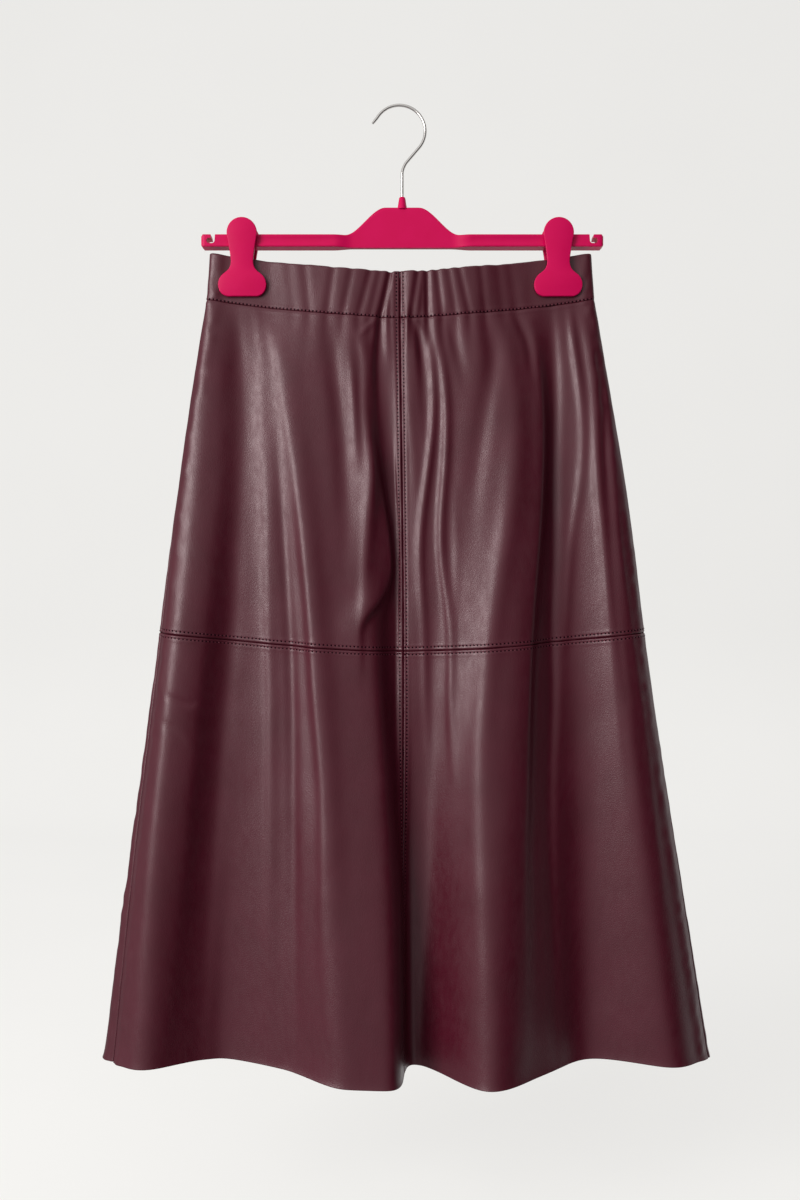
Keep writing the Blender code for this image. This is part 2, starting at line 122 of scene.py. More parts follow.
def closed_curve(corners):
    """A closed curve through the corners that never swings past them, as complex numbers."""
    ahead = np.roll(corners, -1, axis=0) - corners
    behind = np.roll(ahead, 1, axis=0)
    same_way = ahead * behind > 0
    total = np.where(same_way, ahead + behind, 1)
    lean = np.where(same_way, 2 * ahead * behind / total, 0)
    t = np.arange(STEPS_A_CORNER)[None, :, None] / STEPS_A_CORNER
    end = np.roll(corners, -1, axis=0)[:, None]
    lean_end = np.roll(lean, -1, axis=0)[:, None]
    points = (
        corners[:, None] * (1 + 2 * t) * (1 - t) ** 2
        + end * t**2 * (3 - 2 * t)
        + lean[:, None] * t * (1 - t) ** 2
        - lean_end * t**2 * (1 - t)
    ).reshape(-1, 2)
    return points[:, 0] + 1j * points[:, 1]


def running_length(loop):
    return np.concatenate([[0], np.cumsum(np.abs(np.roll(loop, -1) - loop))])


@functools.lru_cache(maxsize=4096)
def ring(drop):
    """The cloth's outer face at one level, seen from above: columns, loop, lengths and seams."""
    row = natural_spline(TABLE[:, 0], TABLE, max(drop, WAIST_DROP))
    level = Level(*row[: len(Level._fields)])
    taper = BAND_TAPER * max(0.0, WAIST_DROP - drop) / (WAIST_DROP - TOP_DROP)
    left = level.left + taper
    right = level.right - taper
    folds = row[len(Level._fields) :]
    across, out, back = np.split(folds, [len(FRONT_FOLDS), 2 * len(FRONT_FOLDS)])
    middle, half = (left + right) / 2, (right - left) / 2
    turn = level.edge_radius
    corners = [(left, level.edge_y), (left + turn, level.edge_y - turn)]
    corners += list(zip(across, -out))
    corners += [(right - turn, level.edge_y - turn), (right, level.edge_y)]
    right_corner = len(corners) - 1
    corners += [(right - turn, level.edge_y + turn)]
    corners += [(middle + wave.share * half, y) for wave, y in zip(BACK_WAVES, back)]
    corners += [(left + turn, level.edge_y + turn)]
    curve = closed_curve(np.array(corners))
    length = running_length(curve)
    even = np.arange(RING_STEPS) * length[-1] / RING_STEPS
    closed = np.append(curve, curve[0])
    loop = np.interp(even, length, closed.real) + 1j * np.interp(even, length, closed.imag)
    waves = np.fft.fftfreq(RING_STEPS, length[-1] / RING_STEPS)
    soft = np.fft.ifft(np.fft.fft(loop) * np.exp(-2 * (math.pi * level.softness * waves) ** 2))
    soft_length = running_length(soft)

    def after_rounding(corner):
        return np.interp(length[corner * STEPS_A_CORNER], np.append(even, length[-1]), soft_length)

    right_seam = after_rounding(right_corner) - level.right_seam
    seams = (level.left_seam, after_rounding(CENTRE), right_seam)
    return level._replace(left=left, right=right), soft, soft_length, seams


# ---------------------------------------------------------------- creases, gathers and seams

# A crease: its soft width to either side, and its path over the cloth as (across, drop, lift).
# A lift above 0 is a ridge, below 0 a trough.
Crease = namedtuple("Crease", "left right path runs", defaults=("down",))
CREASE_END, CREASE_STEPS = 10.0, 96
FRONT_CREASES = {
    "left fork, outer arm": Crease(5, 8, (
        (-131, 177, 0.2), (-126, 203, 0.7), (-125, 257, 0.7), (-122, 319, 1.0), (-120, 390, 1.4),
        (-119, 452, 1.7), (-117, 523, 1.8), (-117, 593, 1.5), (-117, 664, 1.2), (-118, 734, 0.8),
        (-116, 830, 0.3)
    )),
    "left fork, inner arm": Crease(6, 13, (
        (-119, 186, 0.2), (-114, 202, 1.0), (-104, 255, 1.7), (-94, 317, 2.4), (-86, 387, 4.2),
        (-80, 448, 4.2), (-75, 518, 3.8), (-69, 587, 3.0), (-67, 655, 2.2), (-67, 722, 1.4),
        (-62, 800, 0.3)
    )),
    "between the left fork's arms": Crease(5, 6, (
        (-112, 270, 0), (-109, 318, -0.9), (-105, 388, -1.9), (-101, 450, -2.3), (-98, 521, -2.3),
        (-97, 592, -2.0), (-96, 661, -1.6), (-95, 730, -1.0), (-92, 820, -0.2)
    )),
    "hollow left of middle": Crease(8, 7, (
        (-62, 178, -0.8), (-62, 200, -1.6), (-57, 252, -2.2), (-52, 312, -1.6), (-50, 370, -0.6),
        (-50, 430, 0)
    )),
    "mid-left ridge": Crease(4, 7, (
        (-42, 186, 0.3), (-36, 200, 1.0), (-33, 249, 1.8), (-29, 312, 2.6), (-31, 350, 1.8),
        (-33, 400, 1.2), (-35, 445, 1.0), (-37, 466, 0.2)
    )),
    "mid-left second ridge": Crease(3.5, 3.5, (
        (-46, 205, 0.2), (-43, 250, 1.5), (-41, 290, 0.8), (-40, 320, 0)
    )),
    "curled edge": Crease(14, 3.2, (
        (-13, 396, 0.2), (-17, 414, 2.2), (-27, 434, 3.4), (-36, 448, 2.8), (-38, 468, 1.4),
        (-38, 500, 0.2)
    )),
    "dark fold left of the seam": Crease(3.2, 7, (
        (-19.5, 177, -1.2), (-22, 198, -1.9), (-21.5, 245, -1.2), (-20, 275, -0.4), (-19, 290, 0)
    )),
    "beside the seam": Crease(3.5, 3.5, ((4, 215, 0.1), (6, 248, 0.3), (11, 311, 0.3), (12, 345, 0.1))),
    "dark fold right of the seam": Crease(3.5, 4.5, (
        (11, 177, -1.8), (15, 196, -2.8), (18, 225, -1.4), (20, 262, -0.5), (22, 290, 0)
    )),
    "seam-side ridge": Crease(3.5, 3.5, (
        (22, 182, 0.3), (25, 205, 1.0), (28, 249, 2.0), (23, 311, 2.3), (16, 382, 2.0), (19, 445, 1.4),
        (21, 517, 0.8), (24, 580, 0.2)
    )),
    "inner right ridge": Crease(4, 4, (
        (30, 182, 0.4), (34, 205, 1.4), (39, 250, 2.4), (38, 312, 2.8), (35, 383, 2.8), (42, 446, 1.9),
        (43, 517, 1.3), (45, 580, 0.4)
    )),
    "third ridge": Crease(4, 4, ((46, 330, 0.1), (48, 384, 0.5), (47, 425, 0.4), (46, 468, 0.1))),
    "hollow right of the ridges": Crease(9, 8, (
        (74, 178, -1.0), (80, 202, -2.4), (75, 254, -2.2), (65, 316, -1.6), (62, 350, -0.9),
        (62, 395, -0.2)
    )),
    "short hollow": Crease(4, 6, ((42, 177, -0.9), (46, 196, -1.5), (52, 222, -0.8), (56, 248, 0))),
    "upper hollow": Crease(4, 5, ((101, 178, -0.6), (111, 202, -1.7), (115, 230, -0.8), (119, 262, 0))),
    "right ridge": Crease(9, 10, (
        (90, 190, 0.4), (95, 212, 1.2), (100, 255, 1.8), (98, 316, 2.2), (89, 386, 2.4), (79, 447, 2.2),
        (71, 517, 2.2), (66, 586, 1.9), (66, 655, 1.5), (68, 720, 1.0), (69, 800, 0.3)
    )),
    "right second ridge": Crease(21, 7, (
        (114, 190, 0.8), (122, 255, 4.4), (122, 316, 6.4), (117, 386, 6.8), (112, 447, 6.4),
        (108, 519, 5.6), (106, 587, 4.2), (104, 655, 2.8), (104, 730, 1.4), (103, 820, 0.2)
    )),
    "right trough": Crease(9, 5, (
        (133, 178, -0.8), (135, 204, -2.4), (137, 257, -2.8), (136, 319, -3.2), (136, 390, -3.2),
        (134, 452, -3.0), (134, 523, -2.6), (131, 592, -2.2), (131, 661, -1.8), (133, 730, -1.3),
        (133, 842, -0.3)
    )),
    "clip ridge, inner": Crease(3.5, 4, (
        (150, 178, 0.3), (153, 207, 2.0), (160, 262, 1.5), (160, 324, 1.0), (151, 392, 1.0),
        (147, 454, 0.6), (144, 490, 0)
    )),
    "clip ridge, outer": Crease(4.5, 5, (
        (159, 178, 0.2), (165, 208, 1.6), (172, 262, 2.2), (174, 324, 2.2), (180, 395, 1.8),
        (184, 457, 1.2), (188, 520, 0.8), (194, 600, 0.4), (200, 660, 0)
    )),
    "right edge ridge": Crease(3.5, 4, (
        (180, 268, 0.1), (187, 326, 1.3), (193, 397, 1.4), (201, 459, 1.0), (211, 530, 0.8),
        (219, 600, 0.5), (228, 700, 0.1)
    )),
    "right edge trough": Crease(3, 4, (
        (171, 212, -0.3), (180, 264, -1.2), (181, 325, -0.7), (184, 397, -0.9), (190, 457, -0.7),
        (198, 528, -0.4)
    )),
    "right lower ridge": Crease(18, 9, (
        (178, 330, 0.4), (185, 390, 1.3), (190, 452, 1.7), (195, 528, 1.6), (201, 598, 1.2),
        (207, 680, 0.6), (213, 760, 0.1)
    )),
    "left trough": Crease(9, 7, (
        (-150, 180, -0.4), (-148, 203, -1.2), (-146, 257, -0.7), (-147, 319, -0.7), (-149, 390, -0.9),
        (-152, 452, -1.1), (-158, 527, -1.1), (-164, 598, -1.0), (-169, 668, -0.9), (-174, 738, -0.7),
        (-180, 842, -0.4)
    )),
    "side crease": Crease(3, 3, (
        (-210, 525, 0), (-201, 528, -0.9), (-190, 531, -1.0), (-181, 530, 0)
    ), "across"),
    "side crease below": Crease(4, 5, (
        (-214, 548, 0), (-204, 553, -0.7), (-196, 560, -0.4), (-190, 566, 0)
    ), "across"),
    "pucker, left of seam": Crease(2.5, 3, ((-14, 175, 0.8), (-14, 190, 0.6), (-12, 215, 0.1))),
    "pucker, right of seam": Crease(2.0, 2.4, ((4, 175, 0.6), (4, 188, 0.6), (5, 206, 0))),
    "pucker, further right": Crease(2.6, 3, ((29, 175, 0.4), (30, 190, 0.4), (32, 215, 0))),
    "slanting pucker": Crease(2.2, 2.6, ((-40, 192, 0.2), (-31, 184, 0.9), (-25, 178, 0.3)), "across"),
    "slanting pucker, right": Crease(2.2, 2.6, (
        (12, 179, 0.3), (17, 186, 0.8), (24, 193, 0.1)
    ), "across"),
    "dark fold along the seam": Crease(3.5, 2, (
        (-8, 285, -0.2), (-7, 311, -1.0), (-5, 350, -1.4), (-4, 382, -1.6), (-4.5, 446, -2.0),
        (-4.5, 516, -1.6), (-3, 590, -1.0), (0, 660, -0.4)
    )),
    "shoulder left of the seam": Crease(14, 3.5, (
        (-26, 285, 0.4), (-22, 319, 4.0), (-17, 350, 5.4), (-13, 380, 6.2), (-12, 400, 5.4),
        (-14, 418, 3.2), (-18, 438, 0.8)
    )),
    "mid-left swelling": Crease(11, 6, (
        (-30, 260, 0.4), (-30, 312, 2.6), (-31, 345, 2.6), (-33, 385, 1.8), (-35, 420, 0.6)
    )),
    "left inner crest": Crease(20, 13, (
        (-165, 190, 0.3), (-166, 230, 1.2), (-165, 319, 2.0), (-171, 390, 3.2), (-176, 452, 4.0),
        (-184, 527, 4.4), (-190, 598, 4.2), (-196, 668, 3.6), (-202, 738, 2.6), (-212, 842, 1.0)
    )),
    "left trough, low": Crease(9, 16, (
        (-154, 640, -0.1), (-155, 700, -0.6), (-158, 760, -1.0), (-160, 850, -1.2)
    )),
    "low fold right of the seam": Crease(8, 14, (
        (10, 600, 0.1), (12, 660, 1.6), (14, 740, 2.8), (16, 850, 3.2)
    )),
}
BACK_CREASES = {
    "right fall": Crease(7, 9, (
        (148, 182, 0.3), (156, 240, 1.4), (166, 330, 1.2), (176, 430, 0.8), (186, 560, 0.7),
        (196, 700, 0.3)
    )),
    "right trough": Crease(6, 6, (
        (112, 182, -0.3), (116, 260, -1.3), (118, 360, -1.2), (122, 480, -0.9), (128, 640, -0.7),
        (134, 800, -0.3)
    )),
    "right inner ridge": Crease(6, 9, (
        (70, 182, 0.3), (76, 250, 1.5), (80, 340, 1.4), (78, 430, 1.0), (74, 520, 0.6), (70, 640, 0.2)
    )),
    "short ridge": Crease(4, 5, ((33, 180, 0.5), (37, 230, 1.5), (40, 300, 1.0), (39, 370, 0))),
    "middle trough": Crease(5, 6, (
        (8, 180, -0.5), (5, 240, -1.4), (4, 330, -1.3), (7, 430, -0.9), (9, 560, -0.7), (6, 740, -0.4)
    )),
    "left inner ridge": Crease(5, 7, (
        (-30, 180, 0.4), (-36, 240, 1.4), (-44, 320, 1.5), (-49, 410, 1.1), (-53, 500, 0.7),
        (-60, 650, 0.6), (-68, 800, 0.2)
    )),
    "left short ridge": Crease(4, 4, (
        (-60, 180, 0.4), (-63, 220, 1.0), (-66, 280, 0.4), (-68, 320, 0)
    )),
    "left trough back": Crease(6, 6, (
        (-104, 182, -0.4), (-108, 250, -1.3), (-113, 350, -1.2), (-119, 460, -0.9), (-126, 620, -0.7),
        (-134, 800, -0.3)
    )),
    "left fall": Crease(8, 6, (
        (-150, 182, 0.3), (-158, 250, 1.3), (-168, 350, 1.1), (-178, 470, 0.8), (-192, 650, 0.5),
        (-204, 800, 0.2)
    )),
}

# Gathers of the elastic, as troughs: across, depth, half width, reach below the waist seam, lean.
Gather = namedtuple("Gather", "across depth width reach lean")
GATHER_SPREAD, GATHER_FADE = 70.0, 1.3  # below the waist a gather widens, and fades by its reach
GATHER_FAN = 0.16 / 176  # how far a gather leans outwards below the waist
SHOULDER, SHOULDER_WIDTH = 0.3, 3  # the cloth bulges beside each gather
FRONT_GATHERS = (
    Gather(-97, 0.3, 4.5, 27, 0.10),
    Gather(-83, 0.59, 4.0, 27, 0.10),
    Gather(-67, 0.77, 3.6, 30, -0.14),
    Gather(-53, 0.85, 3.4, 30, -0.20),
    Gather(-39, 0.94, 3.2, 27, -0.26),
    Gather(-29, 0.51, 2.8, 30, -0.22),
    Gather(-19.5, 2.21, 2.7, 27, -0.22),
    Gather(-11, 0.42, 2.2, 22, -0.05),
    Gather(8, 1.7, 2.4, 24, -0.13),
    Gather(15.5, 0.42, 2.2, 22, -0.05),
    Gather(23, 1.95, 2.7, 27, 0.02),
    Gather(36, 1.19, 2.8, 27, 0.12),
    Gather(48, 0.85, 3.0, 27, 0.16),
    Gather(60, 1.1, 3.2, 27, 0.22),
    Gather(74, 0.85, 3.4, 27, 0.10),
    Gather(90, 0.51, 4.4, 27, 0.12),
    Gather(103, 0.34, 4.6, 27, 0.16),
)
BACK_GATHER_PLACES = np.linspace(-112, 112, 19) + 2.2 * np.sin(5.1 * np.arange(19))
BACK_GATHERS = tuple(
    Gather(
        x,
        0.8 + 0.5 * math.sin(2.3 * i),
        4.4 + math.cos(1.7 * i),
        45 + 14 * math.sin(1.1 * i),
        0.05 * math.sin(3.1 * i),
    )
    for i, x in enumerate(BACK_GATHER_PLACES)
)

# The waistband: pressed flat by the clips, full between them, rounded over at its top edge.
CLIP_X = (-143.0, 139.5)
CLIP_REACH, CLIP_EASE, CLIP_BULGE = 26.0, 2.5, 0.15
BAND_FULLNESS, FULLNESS_HALF, FULLNESS_REACH = 3.2, 125.0, 70.0
BAND_EDGE_ROUND = 1.3
TOP_EDGE_DIP, TOP_EDGE_REACH = 0.35, 7.0  # the top edge dips where a gather draws it in

# A seam's section, from the seam line outwards: place, lift and half width of each swell or dip.
Swell = namedtuple("Swell", "place lift width")
TOPSTITCHED = (
    Swell(0, -0.75, 0.6), Swell(1.5, 0.26, 0.8), Swell(3.0, -0.16, 0.7), Swell(4.7, 0.14, 1.6)
)
PLAIN_SEAM = (Swell(0, -0.7, 0.7), Swell(2.2, 0.2, 1.6), Swell(9, 1.5, 6))
WAIST_SEAM = (Swell(0, -0.3, 0.4), Swell(1.2, -0.12, 0.6), Swell(2.8, 0.14, 1.3))
SEAM_HOLD, HOLD_WIDTH = 0.75, 5.0  # the creases flatten by this share at a seam down the cloth
HEM_CURL, HEM_CURL_REACH = 0.9, 4.0

# The cloth's slow unevenness: how much it rises and dips, how broadly, and the seed of its draw.
Uneven = namedtuple("Uneven", "lift size seed")
BROAD, FINE, FINE_STRETCH = Uneven(0.35, 34, 1), Uneven(0.07, 9, 7), 2.2
PUCKER, HEM_WAVE, TOP_WAVE = Uneven(0.35, 8, 5), Uneven(0.6, 40, 6), Uneven(0.3, 12, 9)
DRAWN = 97  # how many values are drawn each way before the unevenness repeats


@functools.lru_cache(maxsize=None)
def crease_line(crease):
    """Where a crease runs and how high it stands, at close steps along it."""
    path = np.array(crease.path, dtype=float)
    along, aside = (1, 0) if crease.runs == "down" else (0, 1)
    knots = np.linspace(path[0, along], path[-1, along], CREASE_STEPS)
    rows = [natural_spline(path[:, along], path[:, (aside, 2)], at) for at in knots]
    place, height = np.array(rows).T
    return knots, place, np.gradient(place, knots), height


def crease_lift(creases, x, drop):
    """How far the creases raise or sink the cloth at each place."""
    lift = np.zeros_like(x)
    for crease in creases.values():
        along, aside = (drop, x) if crease.runs == "down" else (x, drop)
        knots, place, slope, height = crease_line(crease)
        beyond = np.maximum(0, np.maximum(knots[0] - along, along - knots[-1]))
        slant = np.sqrt(1 + np.interp(along, knots, slope) ** 2)
        away = (aside - np.interp(along, knots, place)) / slant
        width = np.where(away < 0, crease.left, crease.right)
        fade = np.exp(-((away / width) ** 2) - (beyond / CREASE_END) ** 2)
        lift += np.interp(along, knots, height) * fade
    return lift


def gather_lift(gathers, x, drop):
    """The elastic's gathers: full in the waistband, fading down the panels below it."""
    lift = np.zeros_like(x)
    below = np.maximum(0, drop - WAIST_DROP)
    for gather in gathers:
        across = x - gather.across - gather.lean * np.minimum(0, drop - WAIST_DROP)
        across -= GATHER_FAN * gather.across * below
        away = across / (gather.width * (1 + below / GATHER_SPREAD))
        fade = np.exp(-((below / gather.reach) ** GATHER_FADE))
        shoulder = SHOULDER * np.exp(-((away / SHOULDER_WIDTH) ** 2))
        lift -= gather.depth * fade * (np.exp(-(away**2)) - shoulder)
    return lift


def seam_lift(section, distance):
    """How far a seam raises or sinks the cloth, by the distance from its line."""
    lift = np.zeros_like(distance)
    for swell in section:
        lift += swell.lift * np.exp(-(((distance - swell.place) / swell.width) ** 2))
    return lift


def unevenness(kind, x, y, seed_step=0):
    """Slow, smooth rises and dips of one kind."""
    drawn = np.random.default_rng(kind.seed + seed_step).uniform(-1, 1, (DRAWN, DRAWN))
    a, b = x / kind.size + DRAWN // 2, y / kind.size + DRAWN // 2
    column, row = np.floor(a).astype(int), np.floor(b).astype(int)
    u, v = a - column, b - row
    u, v = u * u * (3 - 2 * u), v * v * (3 - 2 * v)
    left, right = column % DRAWN, (column + 1) % DRAWN
    above, below = row % DRAWN, (row + 1) % DRAWN
    near = drawn[above, left] * (1 - u) + drawn[above, right] * u
    far = drawn[below, left] * (1 - u) + drawn[below, right] * u
    return kind.lift * (near * (1 - v) + far * v)


def clip_grip(x):
    """1 where a clip presses the band flat, easing to 0 away from it."""
    away = np.min([np.abs(x - clip) for clip in CLIP_X], axis=0)
    return 1 / (1 + np.exp((away - CLIP_REACH) / CLIP_EASE))


# ---------------------------------------------------------------- the panels

# A panel: the seams it runs between, its levels, its wall, its folds, and how each edge is sewn.
Panel = namedtuple("Panel", "seams top bottom wall creases gathers left right upper lower")
FRONT = {"creases": FRONT_CREASES, "gathers": FRONT_GATHERS}
FRONT_LEFT = {"seams": (0, 1), "left": PLAIN_SEAM, "right": TOPSTITCHED, **FRONT}
FRONT_RIGHT = {"seams": (1, 2), "left": TOPSTITCHED, "right": PLAIN_SEAM, **FRONT}
BACK = {"seams": (2, 3), "left": PLAIN_SEAM, "right": PLAIN_SEAM}
BACK |= {"creases": BACK_CREASES, "gathers": BACK_GATHERS}
BAND = {"top": TOP_DROP, "bottom": WAIST_DROP, "wall": 2.6, "upper": None, "lower": WAIST_SEAM}
UPPER = {"top": WAIST_DROP, "bottom": YOKE_DROP, "wall": 1.3}
UPPER |= {"upper": WAIST_SEAM, "lower": TOPSTITCHED}
LOWER = {"top": YOKE_DROP, "bottom": HEM_DROP, "wall": 1.3, "upper": TOPSTITCHED, "lower": None}
PANELS = {
    "waistband_front_left": Panel(**BAND, **FRONT_LEFT),
    "waistband_front_right": Panel(**BAND, **FRONT_RIGHT),
    "waistband_back": Panel(**BAND, **BACK),
    "front_upper_left": Panel(**UPPER, **FRONT_LEFT),
    "front_upper_right": Panel(**UPPER, **FRONT_RIGHT),
    "back_upper": Panel(**UPPER, **BACK),
    "front_lower_left": Panel(**LOWER, **FRONT_LEFT),
    "front_lower_right": Panel(**LOWER, **FRONT_RIGHT),
    "back_lower": Panel(**LOWER, **BACK),
}
SEAM_LINE = 0.03  # half the gap left between two panels' outer faces
EDGE_ZONE, EDGE_STEPS = 8.0, 12  # fine steps beside each edge, to hold its seam's section
BAND_STEP, FRONT_STEP, BACK_STEP = 1.5, 2.4, 3.0  # the steps between them


def relief(panel, x, drop, along, width):
    """How far the finished face stands off the panel's plain form, at each place on it."""
    lift = crease_lift(panel.creases, x, drop) + gather_lift(panel.gathers, x, drop)
    between_clips = np.clip(1 - (x / FULLNESS_HALF) ** 2, 0, 1)
    below_waist = np.maximum(0, drop - WAIST_DROP)
    lift += BAND_FULLNESS * between_clips * np.exp(-((below_waist / FULLNESS_REACH) ** 2))
    lift += unevenness(BROAD, x, drop, panel.seams[0]) + unevenness(FINE, x, drop / FINE_STRETCH)
    from_top, from_bottom = drop - panel.top, panel.bottom - drop
    from_seam = np.minimum(along, width - along)
    lift *= 1 - SEAM_HOLD * np.exp(-((from_seam / HOLD_WIDTH) ** 2))
    if panel.top == TOP_DROP:
        grip = clip_grip(x)
        lift = lift * (1 - grip) + CLIP_BULGE * grip * (1 - grip)
        over = np.clip(BAND_EDGE_ROUND - from_top, 0, BAND_EDGE_ROUND)
        lift -= BAND_EDGE_ROUND - np.sqrt(BAND_EDGE_ROUND**2 - over**2)
    pucker = 1 + unevenness(PUCKER, drop, x)
    for section, distance in (
        (panel.left, along),
        (panel.right, width - along),
        (panel.upper, from_top),
        (panel.lower, from_bottom),
    ):
        if section:
            lift += seam_lift(section, distance) * pucker
    if panel.bottom == HEM_DROP:
        wave = 1 + unevenness(HEM_WAVE, x, np.zeros_like(x))
        lift += HEM_CURL * wave * np.exp(-from_bottom / HEM_CURL_REACH)
    return lift


def seam_to_seam(panel, drop):
    """Where a panel starts and ends, as lengths run round the cloth at one level."""
    _, _, length, seams = ring(round(float(drop), 3))
    stations = (*seams, length[-1] + seams[0])
    return stations[panel.seams[0]], stations[panel.seams[1]]


def lay(panel, drops, spread):
    """Places on a panel's finished face: one row for each drop, across as spread(width) says.

    Returns the points, the way each faces, and the cloth's own coordinates, across and down.
    """
    rows = []
    for drop in drops:
        level, loop, length, seams = ring(round(float(drop), 3))
        start, end = seam_to_seam(panel, drop)
        start += SEAM_LINE
        width = end - SEAM_LINE - start
        along = np.asarray(spread(width), dtype=float)
        at = (start + along) % length[-1]
        closed = np.append(loop, loop[0])
        facing = -1j * (np.roll(loop, -1) - np.roll(loop, 1))
        facing = np.append(facing, facing[0])
        place = np.interp(at, length, closed.real) + 1j * np.interp(at, length, closed.imag)
        out = np.interp(at, length, facing.real) + 1j * np.interp(at, length, facing.imag)
        out /= np.abs(out)
        middle, half = (level.left + level.right) / 2, (level.right - level.left) / 2
        aside = np.clip(np.abs(place.real - middle) / half, 0, 1)
        hang = 1 - (aside**2 + SAG_ROUND**2) ** (SAG_POWER / 2)
        z = -(drop + level.sag * hang + level.dip * aside**DIP_POWER)
        cloth_across = start + along - (seams[1] if panel.seams[1] < 3 else seams[2])
        row = [place.real, place.imag, z, out.real, out.imag, along]
        row += [np.full_like(along, width), cloth_across, np.full_like(along, drop)]
        rows.append(np.stack(row))
    x, y, z, out_x, out_y, along, width, cloth_across, drop = np.stack(rows, axis=1)
    lift = relief(panel, x, drop, along, width)
    if panel.top == TOP_DROP:
        dip = TOP_EDGE_DIP * gather_lift(panel.gathers, x, drop)
        dip += unevenness(TOP_WAVE, x, np.zeros_like(x))
        z = z + np.exp(-(drop - TOP_DROP) / TOP_EDGE_REACH) * dip
    points = np.stack([x + out_x * lift, y + out_y * lift, z], axis=-1)
    facing = np.stack([out_x, out_y, np.zeros_like(z)], axis=-1)
    return points, facing, np.stack([cloth_across, -drop], axis=-1)


def steps_between(length, spacing):
    return int(round((length - 2 * EDGE_ZONE) / spacing))


def crowded(length, count):
    """Places from 0 to length: fine steps near both ends and a count of even steps between."""
    ends = EDGE_ZONE * np.linspace(0, 1, EDGE_STEPS + 1)
    middle = np.linspace(EDGE_ZONE, length - EDGE_ZONE, count + 1)[1:-1]
    return np.concatenate([ends, middle, length - ends[::-1]])


def mesh_of(name, work):
    """The mesh of a finished bmesh, which is let go."""
    mesh = bpy.data.meshes.new(name)
    work.to_mesh(mesh)
    work.free()
    return mesh


def link(name, mesh, *materials):
    """A mesh or a wire's curve shown as a piece, with its materials."""
    shown = bpy.data.objects.new(name, mesh)
    for material in materials:
        mesh.materials.append(material)
    bpy.context.scene.collection.objects.link(shown)
    return shown


def make_panel(name, spacing, looks):
    """One panel of cloth: a fine grid laid on its finished face, with the wall behind it."""
    panel = PANELS[name]
    arcs = []
    for drop in (panel.top, panel.bottom):
        start, end = seam_to_seam(panel, drop)
        arcs.append(end - start)
    height = panel.bottom - panel.top
    drops = panel.top + crowded(height, steps_between(height, spacing))
    drops[0] += SEAM_LINE
    drops[-1] -= SEAM_LINE
    across = steps_between(max(arcs), spacing)
    points, _, cloth = lay(panel, drops, lambda width: crowded(width, across))
    rows, columns = points.shape[0] - 1, points.shape[1] - 1
    work = bmesh.new()
    bmesh.ops.create_grid(work, x_segments=columns, y_segments=rows, size=1)
    mesh = mesh_of(name + "_cloth", work)
    flat = np.empty(3 * len(mesh.vertices))
    mesh.vertices.foreach_get("co", flat)
    column = np.rint((flat[0::3] + 1) / 2 * columns).astype(int)
    row = np.rint((1 - flat[1::3]) / 2 * rows).astype(int)
    mesh.vertices.foreach_set("co", (points[row, column] * MM).ravel())
    corner = np.empty(len(mesh.loops), dtype=np.int32)
    mesh.loops.foreach_get("vertex_index", corner)
    unrolled = (cloth[row, column][corner] * MM).ravel()
    mesh.uv_layers.new(name="cloth").uv.foreach_set("vector", unrolled)
    mesh.shade_smooth()
    shown = link(name + "_cloth", mesh, *looks)
    wall = shown.modifiers.new("wall", "SOLIDIFY")
    wall.thickness = panel.wall * MM
    wall.offset = -1
    wall.use_rim = True
    wall.material_offset = 1
    wall.material_offset_rim = 2
    wall.use_even_offset = False
    return shown, arcs


# ---------------------------------------------------------------- topstitching

STITCH_ROW, BAND_STITCH_ROW, YOKE_STITCH_SHIFT = 3.0, 1.0, 0.4
STITCH_PITCH, STITCH_LENGTH, STITCH_WIDTH = 3.3, 2.0, 0.55
# NEEDLE_HOLE gives the half sizes of the sunken bead at each needle hole; its near-black colour is
# painted shade.
NEEDLE_HOLE = (0.8, 1.0, 0.3)
ROW_START, ROW_END, ROW_INSET = 2.2, 1.4, 1.6  # how far the rows keep off a panel's edges


def bead(segments, rings, size, look):
    """A small round of thread, or a sunken needle-hole bead whose near-black colour is painted shade,
    to be laid down many times.
    """
    work = bmesh.new()
    bmesh.ops.create_uvsphere(
        work, u_segments=segments, v_segments=rings, radius=1, matrix=Matrix.Diagonal((*size, 1))
    )
    for face in work.faces:
        face.smooth = True
        face.material_index = look
    return mesh_of("bead", work)


def make_stitches(name, rows, thread, hole):
    """Stitches along rows of points: a bead of thread for each, and between them a sunken needle-hole
    bead coloured near black as painted shade.
    """
    stitch = bead(6, 5, (STITCH_LENGTH / 2, STITCH_WIDTH / 2, STITCH_WIDTH / 2), 0)
    pierced = bead(6, 4, NEEDLE_HOLE, 1)
    work = bmesh.new()
    for points, facing in rows:
        for i in range(len(points) - 1):
            run = Vector(points[i + 1] - points[i]).normalized()
            out = Vector(facing[i])
            out = (out - run * out.dot(run)).normalized()
            turn = Matrix((run, out.cross(run), out)).transposed().to_4x4()
            for form, middle in ((stitch, (points[i] + points[i + 1]) / 2), (pierced, points[i])):
                laid = form.copy()
                laid.transform(Matrix.Scale(MM, 4) @ Matrix.Translation(Vector(middle)) @ turn)
                work.from_mesh(laid)
                bpy.data.meshes.remove(laid)
    return link(name, mesh_of(name, work), thread, hole)


def row_down(panel, edge, distance):
    """A row of stitches beside a panel's left or right seam."""
    drops = np.arange(panel.top + ROW_START, panel.bottom - ROW_END, STITCH_PITCH)
    place = (lambda width: [distance]) if edge == "left" else (lambda width: [width - distance])
    points, facing, _ = lay(panel, drops, place)
    return points[:, 0], facing[:, 0]


def row_across(panel, drop):
    """A row of stitches across a panel at one level."""

    def places(width):
        return np.linspace(ROW_INSET, width - ROW_INSET, int(width / STITCH_PITCH))

    points, facing, _ = lay(panel, [drop], places)
    return points[0], facing[0]


